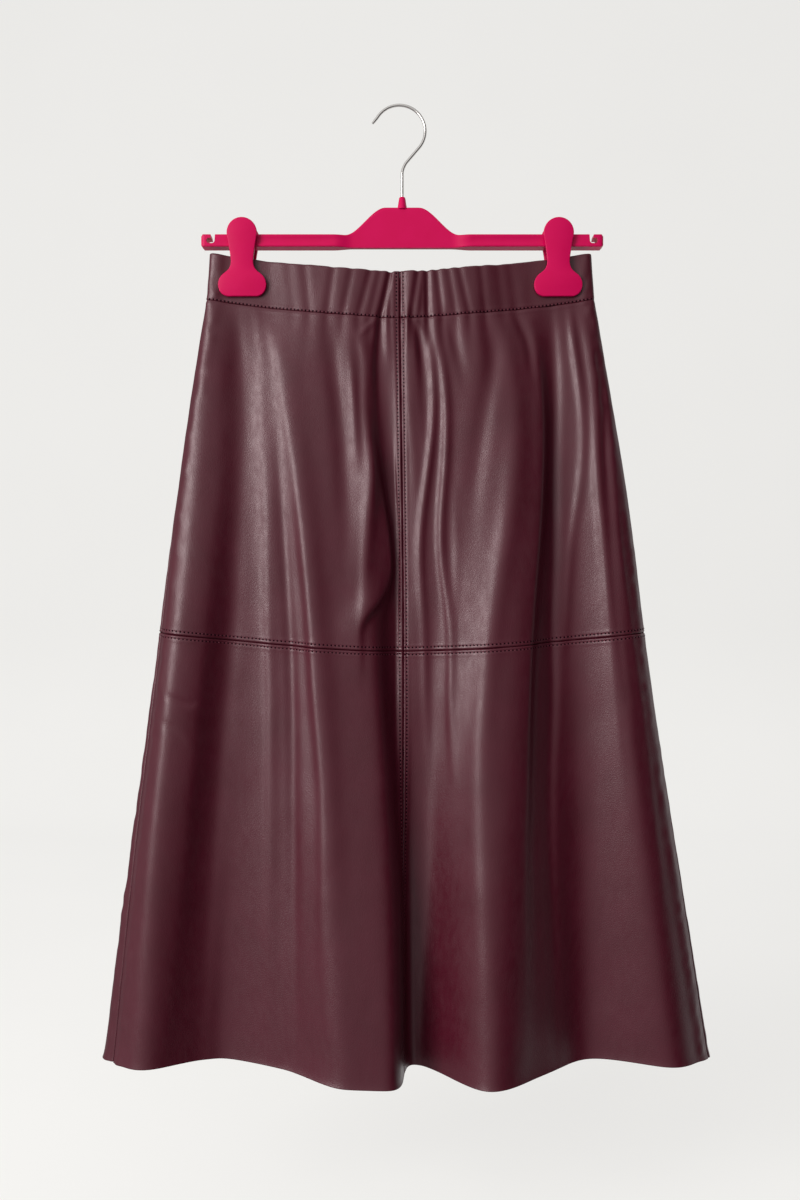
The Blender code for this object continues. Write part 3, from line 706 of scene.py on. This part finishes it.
def panel_stitches(name):
    """All the rows of stitches that a panel carries."""
    panel = PANELS[name]
    rows = []
    for edge in ("left", "right"):
        if getattr(panel, edge) is TOPSTITCHED:
            rows.append(row_down(panel, edge, STITCH_ROW))
    if panel.upper is TOPSTITCHED:
        rows.append(row_across(panel, panel.top + STITCH_ROW))
    if panel.lower is TOPSTITCHED:
        rows.append(row_across(panel, panel.bottom - STITCH_ROW - YOKE_STITCH_SHIFT))
    if panel.bottom == WAIST_DROP:
        rows.append(row_across(panel, panel.bottom - BAND_STITCH_ROW))
    return rows


# ---------------------------------------------------------------- materials


def srgb(code):
    """A sRGB hex colour as linear RGBA."""
    parts = [int(code[i : i + 2], 16) / 255 for i in (1, 3, 5)]
    return (*(c / 12.92 if c <= 0.04045 else ((c + 0.055) / 1.055) ** 2.4 for c in parts), 1.0)


def add(tree, kind, inputs=None, **settings):
    """Adds a node with its settings; inputs are its sockets, each a value or another node's output."""
    made = tree.nodes.new("ShaderNode" + kind)
    for key, value in settings.items():
        setattr(made, key, value)
    for key, value in (inputs or {}).items():
        if isinstance(value, bpy.types.NodeSocket):
            tree.links.new(value, made.inputs[key])
        else:
            made.inputs[key].default_value = value
    return made


def start_material(name, **shader):
    """A node material with one Principled shader, its uniform values set on the shader's sockets."""
    material = bpy.data.materials.new(name)
    material.use_nodes = True
    tree = material.node_tree
    surface = tree.nodes["Principled BSDF"]
    for key, value in shader.items():
        surface.inputs[key.replace("_", " ")].default_value = value
    return material, tree, surface


def coated_leather():
    """Polyurethane-coated faux leather, rolled smooth: a soft satin sheen over a fine pressed grain.

    The grain is drawn about twice as coarse as the real one, so that it shows at all.
    """
    material, tree, surface = start_material(
        "ox-blood coated faux leather", IOR=1.5, Specular_Tint=srgb("#FFF2F5")
    )
    cloth = add(tree, "UVMap", uv_map="cloth").outputs["UV"]
    tone = add(tree, "TexNoise", {"Vector": cloth, "Scale": 28.0, "Detail": 3.0, "Roughness": 0.55})
    tones = {"Factor": tone.outputs["Fac"], 6: srgb("#3F0A18"), 7: srgb("#4A0E20")}
    colour = add(tree, "Mix", tones, data_type="RGBA")
    tree.links.new(colour.outputs[2], surface.inputs["Base Color"])
    drawn = add(tree, "Mapping", {"Vector": cloth, "Scale": (1.0, 0.4, 1.0)})
    dapple = add(
        tree, "TexNoise", {"Vector": drawn.outputs[0], "Scale": 190.0, "Detail": 4.0, "Roughness": 0.6}
    )
    worn = dapple.outputs["Fac"]
    gloss = add(
        tree,
        "MapRange",
        {"Value": worn, "From Min": 0.3, "From Max": 0.7, "To Min": 0.32, "To Max": 0.46},
    )
    tree.links.new(gloss.outputs[0], surface.inputs["Roughness"])
    grain = add(
        tree,
        "TexVoronoi",
        {"Vector": cloth, "Scale": 620.0, "Randomness": 1.0},
        feature="DISTANCE_TO_EDGE",
    )
    pressed = grain.outputs["Distance"]
    grain_depth = add(tree, "MapRange", {"Value": pressed, "From Max": 0.25, "To Max": 1.0})
    height = add(tree, "Math", {0: grain_depth.outputs[0], 1: worn}, operation="ADD")
    bump = add(tree, "Bump", {"Height": height.outputs[0], "Strength": 0.35, "Distance": 0.00012})
    tree.links.new(bump.outputs[0], surface.inputs["Normal"])
    return material


def knit_backing():
    """The brushed knit that the leather's coating sits on: matt, soft and darker, seen inside."""
    material, tree, surface = start_material("brushed knit backing", Roughness=0.95)
    cloth = add(tree, "UVMap", uv_map="cloth").outputs["UV"]
    ribs = add(tree, "TexWave", {"Vector": cloth, "Scale": 210.0, "Distortion": 1.5, "Detail": 2.0})
    tones = {"Factor": ribs.outputs["Fac"], 6: srgb("#2B141A"), 7: srgb("#3A1D24")}
    colour = add(tree, "Mix", tones, data_type="RGBA")
    tree.links.new(colour.outputs[2], surface.inputs["Base Color"])
    bump = add(tree, "Bump", {"Height": ribs.outputs["Fac"], "Strength": 0.4, "Distance": 0.0002})
    tree.links.new(bump.outputs[0], surface.inputs["Normal"])
    return material


def cut_edge():
    """The leather's clean-cut edge: the coating and its backing seen end on, a little fuzzy."""
    material, tree, surface = start_material("cut edge of the leather", Roughness=0.8)
    place = add(tree, "TexCoord").outputs["Object"]
    fuzz = add(tree, "TexNoise", {"Vector": place, "Scale": 900.0, "Detail": 2.0})
    tones = {"Factor": fuzz.outputs["Fac"], 6: srgb("#35141B"), 7: srgb("#54242E")}
    colour = add(tree, "Mix", tones, data_type="RGBA")
    tree.links.new(colour.outputs[2], surface.inputs["Base Color"])
    return material


def sewing_thread():
    """Twisted polyester thread dyed to match: a faint twist and a soft lustre."""
    material, tree, surface = start_material("matched polyester thread", Roughness=0.55)
    place = add(tree, "TexCoord").outputs["Object"]
    twist = add(tree, "TexNoise", {"Vector": place, "Scale": 1500.0, "Detail": 1.0})
    tones = {"Factor": twist.outputs["Fac"], 6: srgb("#5E2432"), 7: srgb("#733040")}
    colour = add(tree, "Mix", tones, data_type="RGBA")
    tree.links.new(colour.outputs[2], surface.inputs["Base Color"])
    return material


def needle_hole_painted_shade():
    """Painted shade in the needle holes: the pierced leather where the thread goes in, coloured near
    black.
    """
    material, tree, surface = start_material(
        "needle hole, painted shade", Roughness=0.9, Specular_IOR_Level=0.0
    )
    place = add(tree, "TexCoord").outputs["Object"]
    shade = add(tree, "TexNoise", {"Vector": place, "Scale": 800.0})
    # Painted shade: the hole's shadow laid on as a near-black colour, with no gloss to lift it.
    tones = {"Factor": shade.outputs["Fac"], 6: srgb("#12030A"), 7: srgb("#1E0810")}
    colour = add(tree, "Mix", tones, data_type="RGBA")
    tree.links.new(colour.outputs[2], surface.inputs["Base Color"])
    return material


def moulded_plastic():
    """Pink polystyrene, injection moulded: glossy, with the mould's faint flow and polish marks."""
    material, tree, surface = start_material(
        "pink moulded polystyrene", IOR=1.55, Specular_IOR_Level=0.12
    )
    place = add(tree, "TexCoord").outputs["Object"]
    flow = add(tree, "TexNoise", {"Vector": place, "Scale": 60.0, "Detail": 2.0})
    tones = {"Factor": flow.outputs["Fac"], 6: srgb("#C0004A"), 7: srgb("#C60552")}
    colour = add(tree, "Mix", tones, data_type="RGBA")
    tree.links.new(colour.outputs[2], surface.inputs["Base Color"])
    polish = add(tree, "TexNoise", {"Vector": place, "Scale": 350.0, "Detail": 3.0})
    gloss = add(tree, "MapRange", {"Value": polish.outputs["Fac"], "To Min": 0.3, "To Max": 0.42})
    tree.links.new(gloss.outputs[0], surface.inputs["Roughness"])
    bump = add(tree, "Bump", {"Height": polish.outputs["Fac"], "Strength": 0.12, "Distance": 0.0001})
    tree.links.new(bump.outputs[0], surface.inputs["Normal"])
    return material


def plated_steel(name, low, high):
    """Drawn steel wire, nickel plated and polished: bright, with fine drawing marks along it."""
    material, tree, surface = start_material(name, Metallic=1.0)
    place = add(tree, "TexCoord").outputs["Object"]
    marks = add(tree, "TexNoise", {"Vector": place, "Scale": 1200.0, "Detail": 3.0})
    tones = {"Factor": marks.outputs["Fac"], 6: srgb("#B9B5B2"), 7: srgb("#D8D5D3")}
    colour = add(tree, "Mix", tones, data_type="RGBA")
    tree.links.new(colour.outputs[2], surface.inputs["Base Color"])
    gloss = add(tree, "MapRange", {"Value": marks.outputs["Fac"], "To Min": low, "To Max": high})
    tree.links.new(gloss.outputs[0], surface.inputs["Roughness"])
    return material


def backdrop_paper():
    """The studio's floor and backdrop: matt white paper with some light coming through it."""
    material, tree, surface = start_material(
        "white backdrop paper", Roughness=0.95, Specular_IOR_Level=0.1
    )
    place = add(tree, "TexCoord").outputs["Object"]
    uneven = add(tree, "TexNoise", {"Vector": place, "Scale": 3.0, "Detail": 3.0})
    tones = {"Factor": uneven.outputs["Fac"], 6: srgb("#8C8C8A"), 7: srgb("#929290")}
    colour = add(tree, "Mix", tones, data_type="RGBA")
    tree.links.new(colour.outputs[2], surface.inputs["Base Color"])
    surface.inputs["Emission Color"].default_value = srgb("#F7F6F4")
    surface.inputs["Emission Strength"].default_value = 0.68
    return material


# ---------------------------------------------------------------- the hanger

BAR_HALF_LENGTH, BAR_TOP, BAR_BOTTOM, BAR_DEPTH = 180.0, -116.4, -127.5, 12.0
HUMP_RISE, HUMP_TOP_HALF, HUMP_FOOT_HALF, HUMP_DEPTH = 25.0, 15.0, 52.0, 5.0
SLOT_CENTRE, SLOT_SIZE, SLOT_MOUTH = (-171.6, -122.0), (7.4, 4.8), 2.9
BAR_AROUND, BAR_SQUARENESS, BAR_CORNER = 40, 1.32, 0.8
THICKENING = (HUMP_FOOT_HALF - 8, HUMP_FOOT_HALF + 10)  # where the thin hump grows into the bar
END_REACH, END_INSET = 1.6, 1.4  # the bar's rounded ends
GROOVE_DEPTH, GROOVE_HALF = 0.8, 0.5
GROOVE_START, GROOVE_END = (HUMP_FOOT_HALF, HUMP_FOOT_HALF + 14), (151.0, 158.0)
BOSS_RADII, BOSS_HEIGHT, BOSS_ROUND = (4.4, 2.7), 11.0, 1.1
WIRE, HOOK_RADIUS, HOOK_OFFSET, STEM_FOOT, STEM_TOP = 2.7, 23.2, -2.5, -92.0, -57.0
HOOK_START_ANGLE, HOOK_END_ANGLE, HOOK_TIP, TIP_THIN = -42.0, 148.0, 7.0, 0.8
HEAD_RADIUS, HEAD_HEIGHT, PLATE = 13.5, -116.3, 3.2
FOOT_FACE, FOOT_DROP, HEAD_SPREAD = 3.7, 55.8, 3.6
RIB, RIB_HEIGHT, RIB_FACE, RIB_ROUND, PLATE_ROUND = (17.0, 2.6), -131.6, 0.15, 0.4, 0.75
CLIP_SIDE = (
    (13.3, 2.5), (11.6, 12.0), (10.2, 22.0), (10.3, 28.0), (13.0, 33.0),
    (18.0, 37.0), (21.2, 42.5), (21.2, 48.5), (18.3, 53.5), (13.5, 55.8),
)


def smooth_step(low, high, value):
    t = min(1.0, max(0.0, (value - low) / (high - low)))
    return t * t * (3 - 2 * t)


def finish_mesh(name, work, *materials, sharp=35):
    """A bmesh made into a smooth-shaded piece with its faces pointing out."""
    bmesh.ops.remove_doubles(work, verts=work.verts, dist=1e-6)
    bmesh.ops.recalc_face_normals(work, faces=work.faces)
    if work.calc_volume(signed=True) < 0:
        bmesh.ops.reverse_faces(work, faces=work.faces)
    mesh = mesh_of(name, work)
    mesh.shade_smooth()
    mesh.set_sharp_from_angle(angle=math.radians(sharp))
    return link(name, mesh, *materials)


def shift_new(work, grown, move):
    """Moves what an extrusion has just grown."""
    moved = [part for part in grown["geom"] if isinstance(part, bmesh.types.BMVert)]
    bmesh.ops.translate(work, verts=moved, vec=move)


def outline_plate(points, thick):
    """A bmesh plate: an outline in X and Z extruded from y = 0 to its thickness."""
    work = bmesh.new()
    face = work.faces.new([work.verts.new((x * MM, 0, z * MM)) for x, z in points])
    shift_new(work, bmesh.ops.extrude_face_region(work, geom=[face]), (0, thick * MM, 0))
    bmesh.ops.recalc_face_normals(work, faces=work.faces)
    return work


def round_edges(work, edges, radius, steps):
    bmesh.ops.bevel(
        work, geom=edges, offset=radius * MM, segments=steps, affect="EDGES", profile=0.5, material=-1
    )


def carve(target, operation, *cutters):
    """Cuts the cutters out of the target, or joins them on, and takes the cutters away."""
    for cutter in cutters:
        step = target.modifiers.new("carve", "BOOLEAN")
        step.operation, step.object, step.solver = operation, cutter, "EXACT"
    graph = bpy.context.evaluated_depsgraph_get()
    made = bpy.data.meshes.new_from_object(target.evaluated_get(graph))
    target.modifiers.clear()
    target.data = made
    for cutter in cutters:
        bpy.data.objects.remove(cutter)


def refinish(piece, material, sharp):
    """Gives a carved piece one material and soft shading between its sharp edges."""
    piece.data.materials.clear()
    piece.data.materials.append(material)
    piece.data.shade_smooth()
    piece.data.set_sharp_from_angle(angle=math.radians(sharp))
    return piece


def bar_section(x):
    """The bar's rounded section at x: points round it, in Y and Z."""
    thick = smooth_step(*THICKENING, abs(x))
    half = (HUMP_DEPTH + (BAR_DEPTH - HUMP_DEPTH) * thick) / 2
    top = BAR_TOP + HUMP_RISE * (1 - smooth_step(HUMP_TOP_HALF, HUMP_FOOT_HALF, abs(x)))
    inset = END_INSET * smooth_step(BAR_HALF_LENGTH - END_REACH, BAR_HALF_LENGTH, abs(x))
    half, top, bottom = half - inset, top - inset, BAR_BOTTOM + inset
    middle, reach = (top + bottom) / 2, (top - bottom) / 2
    groove = GROOVE_DEPTH * smooth_step(*GROOVE_START, abs(x))
    groove *= 1 - smooth_step(*GROOVE_END, abs(x))
    section = []
    for i in range(BAR_AROUND):
        angle = 2 * math.pi * (i + 0.5) / BAR_AROUND
        c, s = math.cos(angle), math.sin(angle)
        y = math.copysign(min(1.0, BAR_SQUARENESS * abs(c)) ** BAR_CORNER, c)
        z = math.copysign(min(1.0, BAR_SQUARENESS * abs(s)) ** BAR_CORNER, s)
        pinch = groove * math.exp(-((z / GROOVE_HALF) ** 4)) if abs(y) > 0.98 else 0
        section.append((y * half - math.copysign(pinch, y), middle + z * reach))
    return section


def make_bar(plastic):
    """The bar with its hump: a skin along X with filled ends, its slots cut, the boss joined on."""
    tips = np.linspace(BAR_HALF_LENGTH - END_REACH, BAR_HALF_LENGTH, 5)
    body = np.linspace(70, BAR_HALF_LENGTH - 4, 16)
    stations = np.concatenate([-tips[::-1], -body[::-1], np.linspace(-68, 68, 69), body, tips])
    work = bmesh.new()
    bmesh.ops.create_grid(work, x_segments=len(stations) - 1, y_segments=BAR_AROUND, size=1)
    for vertex in work.verts:
        column = round((vertex.co.x + 1) / 2 * (len(stations) - 1))
        turn = round((vertex.co.y + 1) / 2 * BAR_AROUND) % BAR_AROUND
        x = float(stations[column])
        y, z = bar_section(x)[turn]
        vertex.co = (x * MM, y * MM, z * MM)
    bmesh.ops.remove_doubles(work, verts=work.verts, dist=1e-6)
    bmesh.ops.holes_fill(work, edges=[edge for edge in work.edges if edge.is_boundary])
    bar = finish_mesh("hanger_bar_skin", work, plastic)
    x, z = SLOT_CENTRE
    wide, high = SLOT_SIZE
    cutters = []
    for side in (1, -1):
        outline = []
        for angle in np.linspace(0, 2 * math.pi, 36, endpoint=False) + math.pi / 36:
            shift = math.copysign((wide - high) / 2, math.cos(angle))
            across = x + shift + high / 2 * math.cos(angle)
            outline.append((side * across, z + high / 2 * math.sin(angle)))
        inner, above = x + wide / 2, z + 9
        mouth = [(inner - SLOT_MOUTH, z), (inner, z), (inner + 0.6, above), (inner - 4.2, above)]
        for points in (outline, [(side * a, b) for a, b in mouth]):
            cutter = outline_plate(points, 2 * BAR_DEPTH)
            bmesh.ops.translate(cutter, verts=cutter.verts, vec=(0, -BAR_DEPTH * MM, 0))
            cutters.append(finish_mesh("cutter", cutter))
    carve(bar, "DIFFERENCE", *cutters)
    boss = bmesh.new()
    foot = BAR_TOP + HUMP_RISE - 1.0
    place = Matrix.Translation((0, 0, (foot + BOSS_HEIGHT / 2) * MM))
    bmesh.ops.create_cone(
        boss, cap_ends=True, segments=32, radius1=BOSS_RADII[0] * MM, radius2=BOSS_RADII[1] * MM,
        depth=BOSS_HEIGHT * MM, matrix=place,
    )
    near_top = (foot + BOSS_HEIGHT - 0.1) * MM
    rim = [edge for edge in boss.edges if all(v.co.z > near_top for v in edge.verts)]
    round_edges(boss, rim, BOSS_ROUND, 3)
    carve(bar, "UNION", finish_mesh("boss", boss))
    return refinish(bar, plastic, 35)


def make_hook(steel):
    """The wire hook: a round wire along its route, out of the boss, round the hook to its tip."""
    inner = HOOK_RADIUS - WIRE / 2
    centre = (HOOK_OFFSET, -math.sqrt(inner**2 - HOOK_OFFSET**2))
    end = math.radians(HOOK_END_ANGLE)
    route = [(0.0, z) for z in np.linspace(STEM_FOOT, STEM_TOP - 3, 8)]
    for x, above in ((0.25, -0.8), (0.9, 1.5), (2.0, 4.0), (3.4, 6.5)):
        route.append((x, STEM_TOP + above))
    for angle in np.linspace(math.radians(HOOK_START_ANGLE), end, 60):
        along = (HOOK_RADIUS * math.cos(angle), HOOK_RADIUS * math.sin(angle))
        route.append((centre[0] + along[0], centre[1] + along[1]))
    last = route[-1]
    away = (-math.sin(end - 0.12), math.cos(end - 0.12))
    route += [(last[0] + away[0] * d, last[1] + away[1] * d) for d in (HOOK_TIP / 2, HOOK_TIP)]
    line = bpy.data.curves.new("hanger_hook_wire", "CURVE")
    line.dimensions = "3D"
    line.bevel_depth = WIRE / 2 * MM
    line.bevel_resolution = 5
    line.use_fill_caps = True
    spline = line.splines.new("POLY")
    spline.points.add(len(route) - 1)
    for point, (x, z) in zip(spline.points, route):
        point.co = (x * MM, 0, z * MM, 1)
        point.radius = 1
    spline.points[-1].radius = TIP_THIN
    spline.use_smooth = True
    return link("hanger_hook_wire", line, steel)


def clip_outline():
    """A clip plate's outline: a round head, waisted sides and a broad foot with round corners."""
    knots = np.arange(len(CLIP_SIDE), dtype=float)
    side = np.array(CLIP_SIDE)
    right = [natural_spline(knots, side, at) for at in np.linspace(0, len(side) - 1, 40)]
    right = [(width, -drop) for width, drop in right]
    turn = np.linspace(0, math.pi, 33)
    head = [(HEAD_RADIUS * math.cos(a), HEAD_RADIUS * math.sin(a)) for a in turn]
    return head + [(-x, z) for x, z in right] + right[::-1]


def make_clip(name, x, facing, plastic):
    """A clip plate with rounded edges, leaning out from foot to head, and its rib under the bar."""
    work = outline_plate([(a + x, b + HEAD_HEIGHT) for a, b in clip_outline()], PLATE)
    flat_edges = [
        edge
        for edge in work.edges
        if any(all(abs(v.co.y - y * MM) < 1e-6 for v in edge.verts) for y in (0, PLATE))
    ]
    round_edges(work, flat_edges, PLATE_ROUND, 3)
    for vertex in work.verts:
        above_foot = vertex.co.z / MM - (HEAD_HEIGHT - FOOT_DROP)
        lean = (FOOT_FACE + HEAD_SPREAD / FOOT_DROP * above_foot) * MM
        vertex.co.y = facing * (vertex.co.y + lean)
    plate = finish_mesh(name, work, plastic)
    width, height = RIB
    rib = bmesh.new()
    near, far = facing * RIB_FACE, facing * (FOOT_FACE + HEAD_SPREAD + PLATE / 2)
    size = Matrix.Diagonal((width * MM, abs(far - near) * MM, height * MM, 1))
    place = Matrix.Translation((x * MM, (near + far) / 2 * MM, RIB_HEIGHT * MM))
    bmesh.ops.create_cube(rib, size=1, matrix=place @ size)
    round_edges(rib, rib.edges[:], RIB_ROUND, 2)
    carve(plate, "UNION", finish_mesh("rib", rib))
    return refinish(plate, plastic, 40)


# ---------------------------------------------------------------- the studio

CAMERA_PLACE, CAMERA_LENS = (-0.002, -0.95, -0.4437), 31.67
FLOOR_Z, BACKDROP_Y, BACKDROP_TOP, BACKDROP_BEND = -1.02, 2.1, 2.6, 0.5
FLOOR_FRONT, FLOOR_HALF_WIDTH = -3.5, 4.0
SEEN_BACKGROUND = 0.88  # how bright the open room looks beyond the backdrop


def make_stage(paint):
    """A pale floor that curves up into a backdrop, well behind the skirt."""
    start = BACKDROP_Y - BACKDROP_BEND
    profile = [(FLOOR_FRONT, FLOOR_Z), (start, FLOOR_Z)]
    for angle in np.linspace(0, math.pi / 2, 12)[1:]:
        rise = BACKDROP_BEND * (1 - math.cos(angle))
        profile.append((start + BACKDROP_BEND * math.sin(angle), FLOOR_Z + rise))
    profile.append((BACKDROP_Y, BACKDROP_TOP))
    work = bmesh.new()
    verts = [work.verts.new((-FLOOR_HALF_WIDTH, y, z)) for y, z in profile]
    edges = [work.edges.new(pair) for pair in zip(verts, verts[1:])]
    shift_new(work, bmesh.ops.extrude_edge_only(work, edges=edges), (2 * FLOOR_HALF_WIDTH, 0, 0))
    mesh = mesh_of("studio_floor", work)
    mesh.shade_smooth()
    floor = link("studio_floor", mesh, paint)
    floor.visible_diffuse = False
    floor.visible_glossy = False


def add_softbox(name, place, aim, size, power, colour):
    light = bpy.data.lights.new(name, "AREA")
    light.shape = "RECTANGLE"
    light.size, light.size_y = size
    light.energy = power
    light.color = srgb(colour)[:3]
    lamp = bpy.data.objects.new(name, light)
    lamp.location = place
    lamp.visible_camera = False
    lamp.rotation_euler = (Vector(aim) - Vector(place)).to_track_quat("-Z", "Y").to_euler()
    bpy.context.scene.collection.objects.link(lamp)


def light_studio():
    """A large soft window light from the left, in a room that is dimmer to the right and low down."""
    world = bpy.data.worlds.new("studio room")
    world.use_nodes = True
    tree = world.node_tree
    way = add(tree, "TexCoord").outputs["Generated"]
    parts = add(tree, "SeparateXYZ", {0: way})
    x, y, z = parts.outputs
    side = add(
        tree,
        "MapRange",
        {"Value": x, "From Min": -0.2, "From Max": 0.75, "To Min": 1.2, "To Max": 0.03},
        interpolation_type="SMOOTHSTEP",
    )
    height = add(
        tree, "MapRange", {"Value": z, "From Min": -0.7, "From Max": 0.5, "To Min": 0.3, "To Max": 1.0}
    )
    front = add(tree, "Math", {0: side.outputs[0], 1: height.outputs[0]}, operation="MULTIPLY")
    behind = add(tree, "MapRange", {"Value": y, "From Min": -0.32, "From Max": 0.2})
    rear = add(
        tree, "MapRange", {"Value": x, "From Min": -0.7, "From Max": 0.6, "To Min": 0.35, "To Max": 1.0}
    )
    room = add(
        tree,
        "Mix",
        {"Factor": behind.outputs[0], "A": front.outputs[0], "B": rear.outputs[0]},
        data_type="FLOAT",
    )
    seen = add(tree, "LightPath").outputs["Is Camera Ray"]
    shown = {"Factor": seen, "A": room.outputs["Result"], "B": SEEN_BACKGROUND}
    strength = add(tree, "Mix", shown, data_type="FLOAT")
    tree.links.new(strength.outputs["Result"], tree.nodes["Background"].inputs["Strength"])
    tree.nodes["Background"].inputs["Color"].default_value = srgb("#F6F5F4")
    bpy.context.scene.world = world
    bpy.context.scene.view_settings.view_transform = "Standard"
    add_softbox("window left", (-1.6, -1.5, 0.15), (0, 0, -0.4), (1.0, 1.4), 43, "#FFFDFA")


def place_camera():
    camera = bpy.data.cameras.new("camera")
    camera.lens = CAMERA_LENS
    camera.sensor_width = 36.0
    seat = bpy.data.objects.new("camera", camera)
    seat.location = CAMERA_PLACE
    seat.rotation_euler = (math.pi / 2, 0, 0)
    bpy.context.scene.collection.objects.link(seat)
    bpy.context.scene.camera = seat


# ---------------------------------------------------------------- putting it together


def make_skirt():
    leather, backing, edge = coated_leather(), knit_backing(), cut_edge()
    # The needle holes' near-black material is painted shade.
    thread, hole = sewing_thread(), needle_hole_painted_shade()
    for name, panel in PANELS.items():
        spacing = BAND_STEP if name.startswith("waistband") else FRONT_STEP
        if name.startswith("back"):
            spacing = BACK_STEP
        cloth, arcs = make_panel(name, spacing, (leather, backing, edge))
        stitches = make_stitches(name + "_topstitch", panel_stitches(name), thread, hole)
        for piece in (cloth, stitches):
            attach(piece, "root")
        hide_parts(name)


def make_hanger():
    plastic = moulded_plastic()
    wire = plated_steel("polished plated wire", 0.16, 0.26)
    strip = plated_steel("plated spring strip", 0.25, 0.4)
    pieces = [
        (make_bar(plastic), "hanger_bar", "plastic"),
        (make_hook(wire), "hanger_hook", "steel"),
    ]
    for side, x in zip(("left", "right"), CLIP_X):
        for face, facing in (("front", -1), ("back", 1)):
            node = f"clip_{side}_{face}"
            pieces.append((make_clip(node + "_plate", x, facing, plastic), node, "plastic"))
        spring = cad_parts[f"clip_{side}_spring"]
        spring.data.materials.clear()
        spring.data.materials.append(strip)
    for piece, node, finish in pieces:
        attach(piece, "root")
        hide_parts(node)


make_skirt()
make_hanger()
make_stage(backdrop_paper())
light_studio()
place_camera()
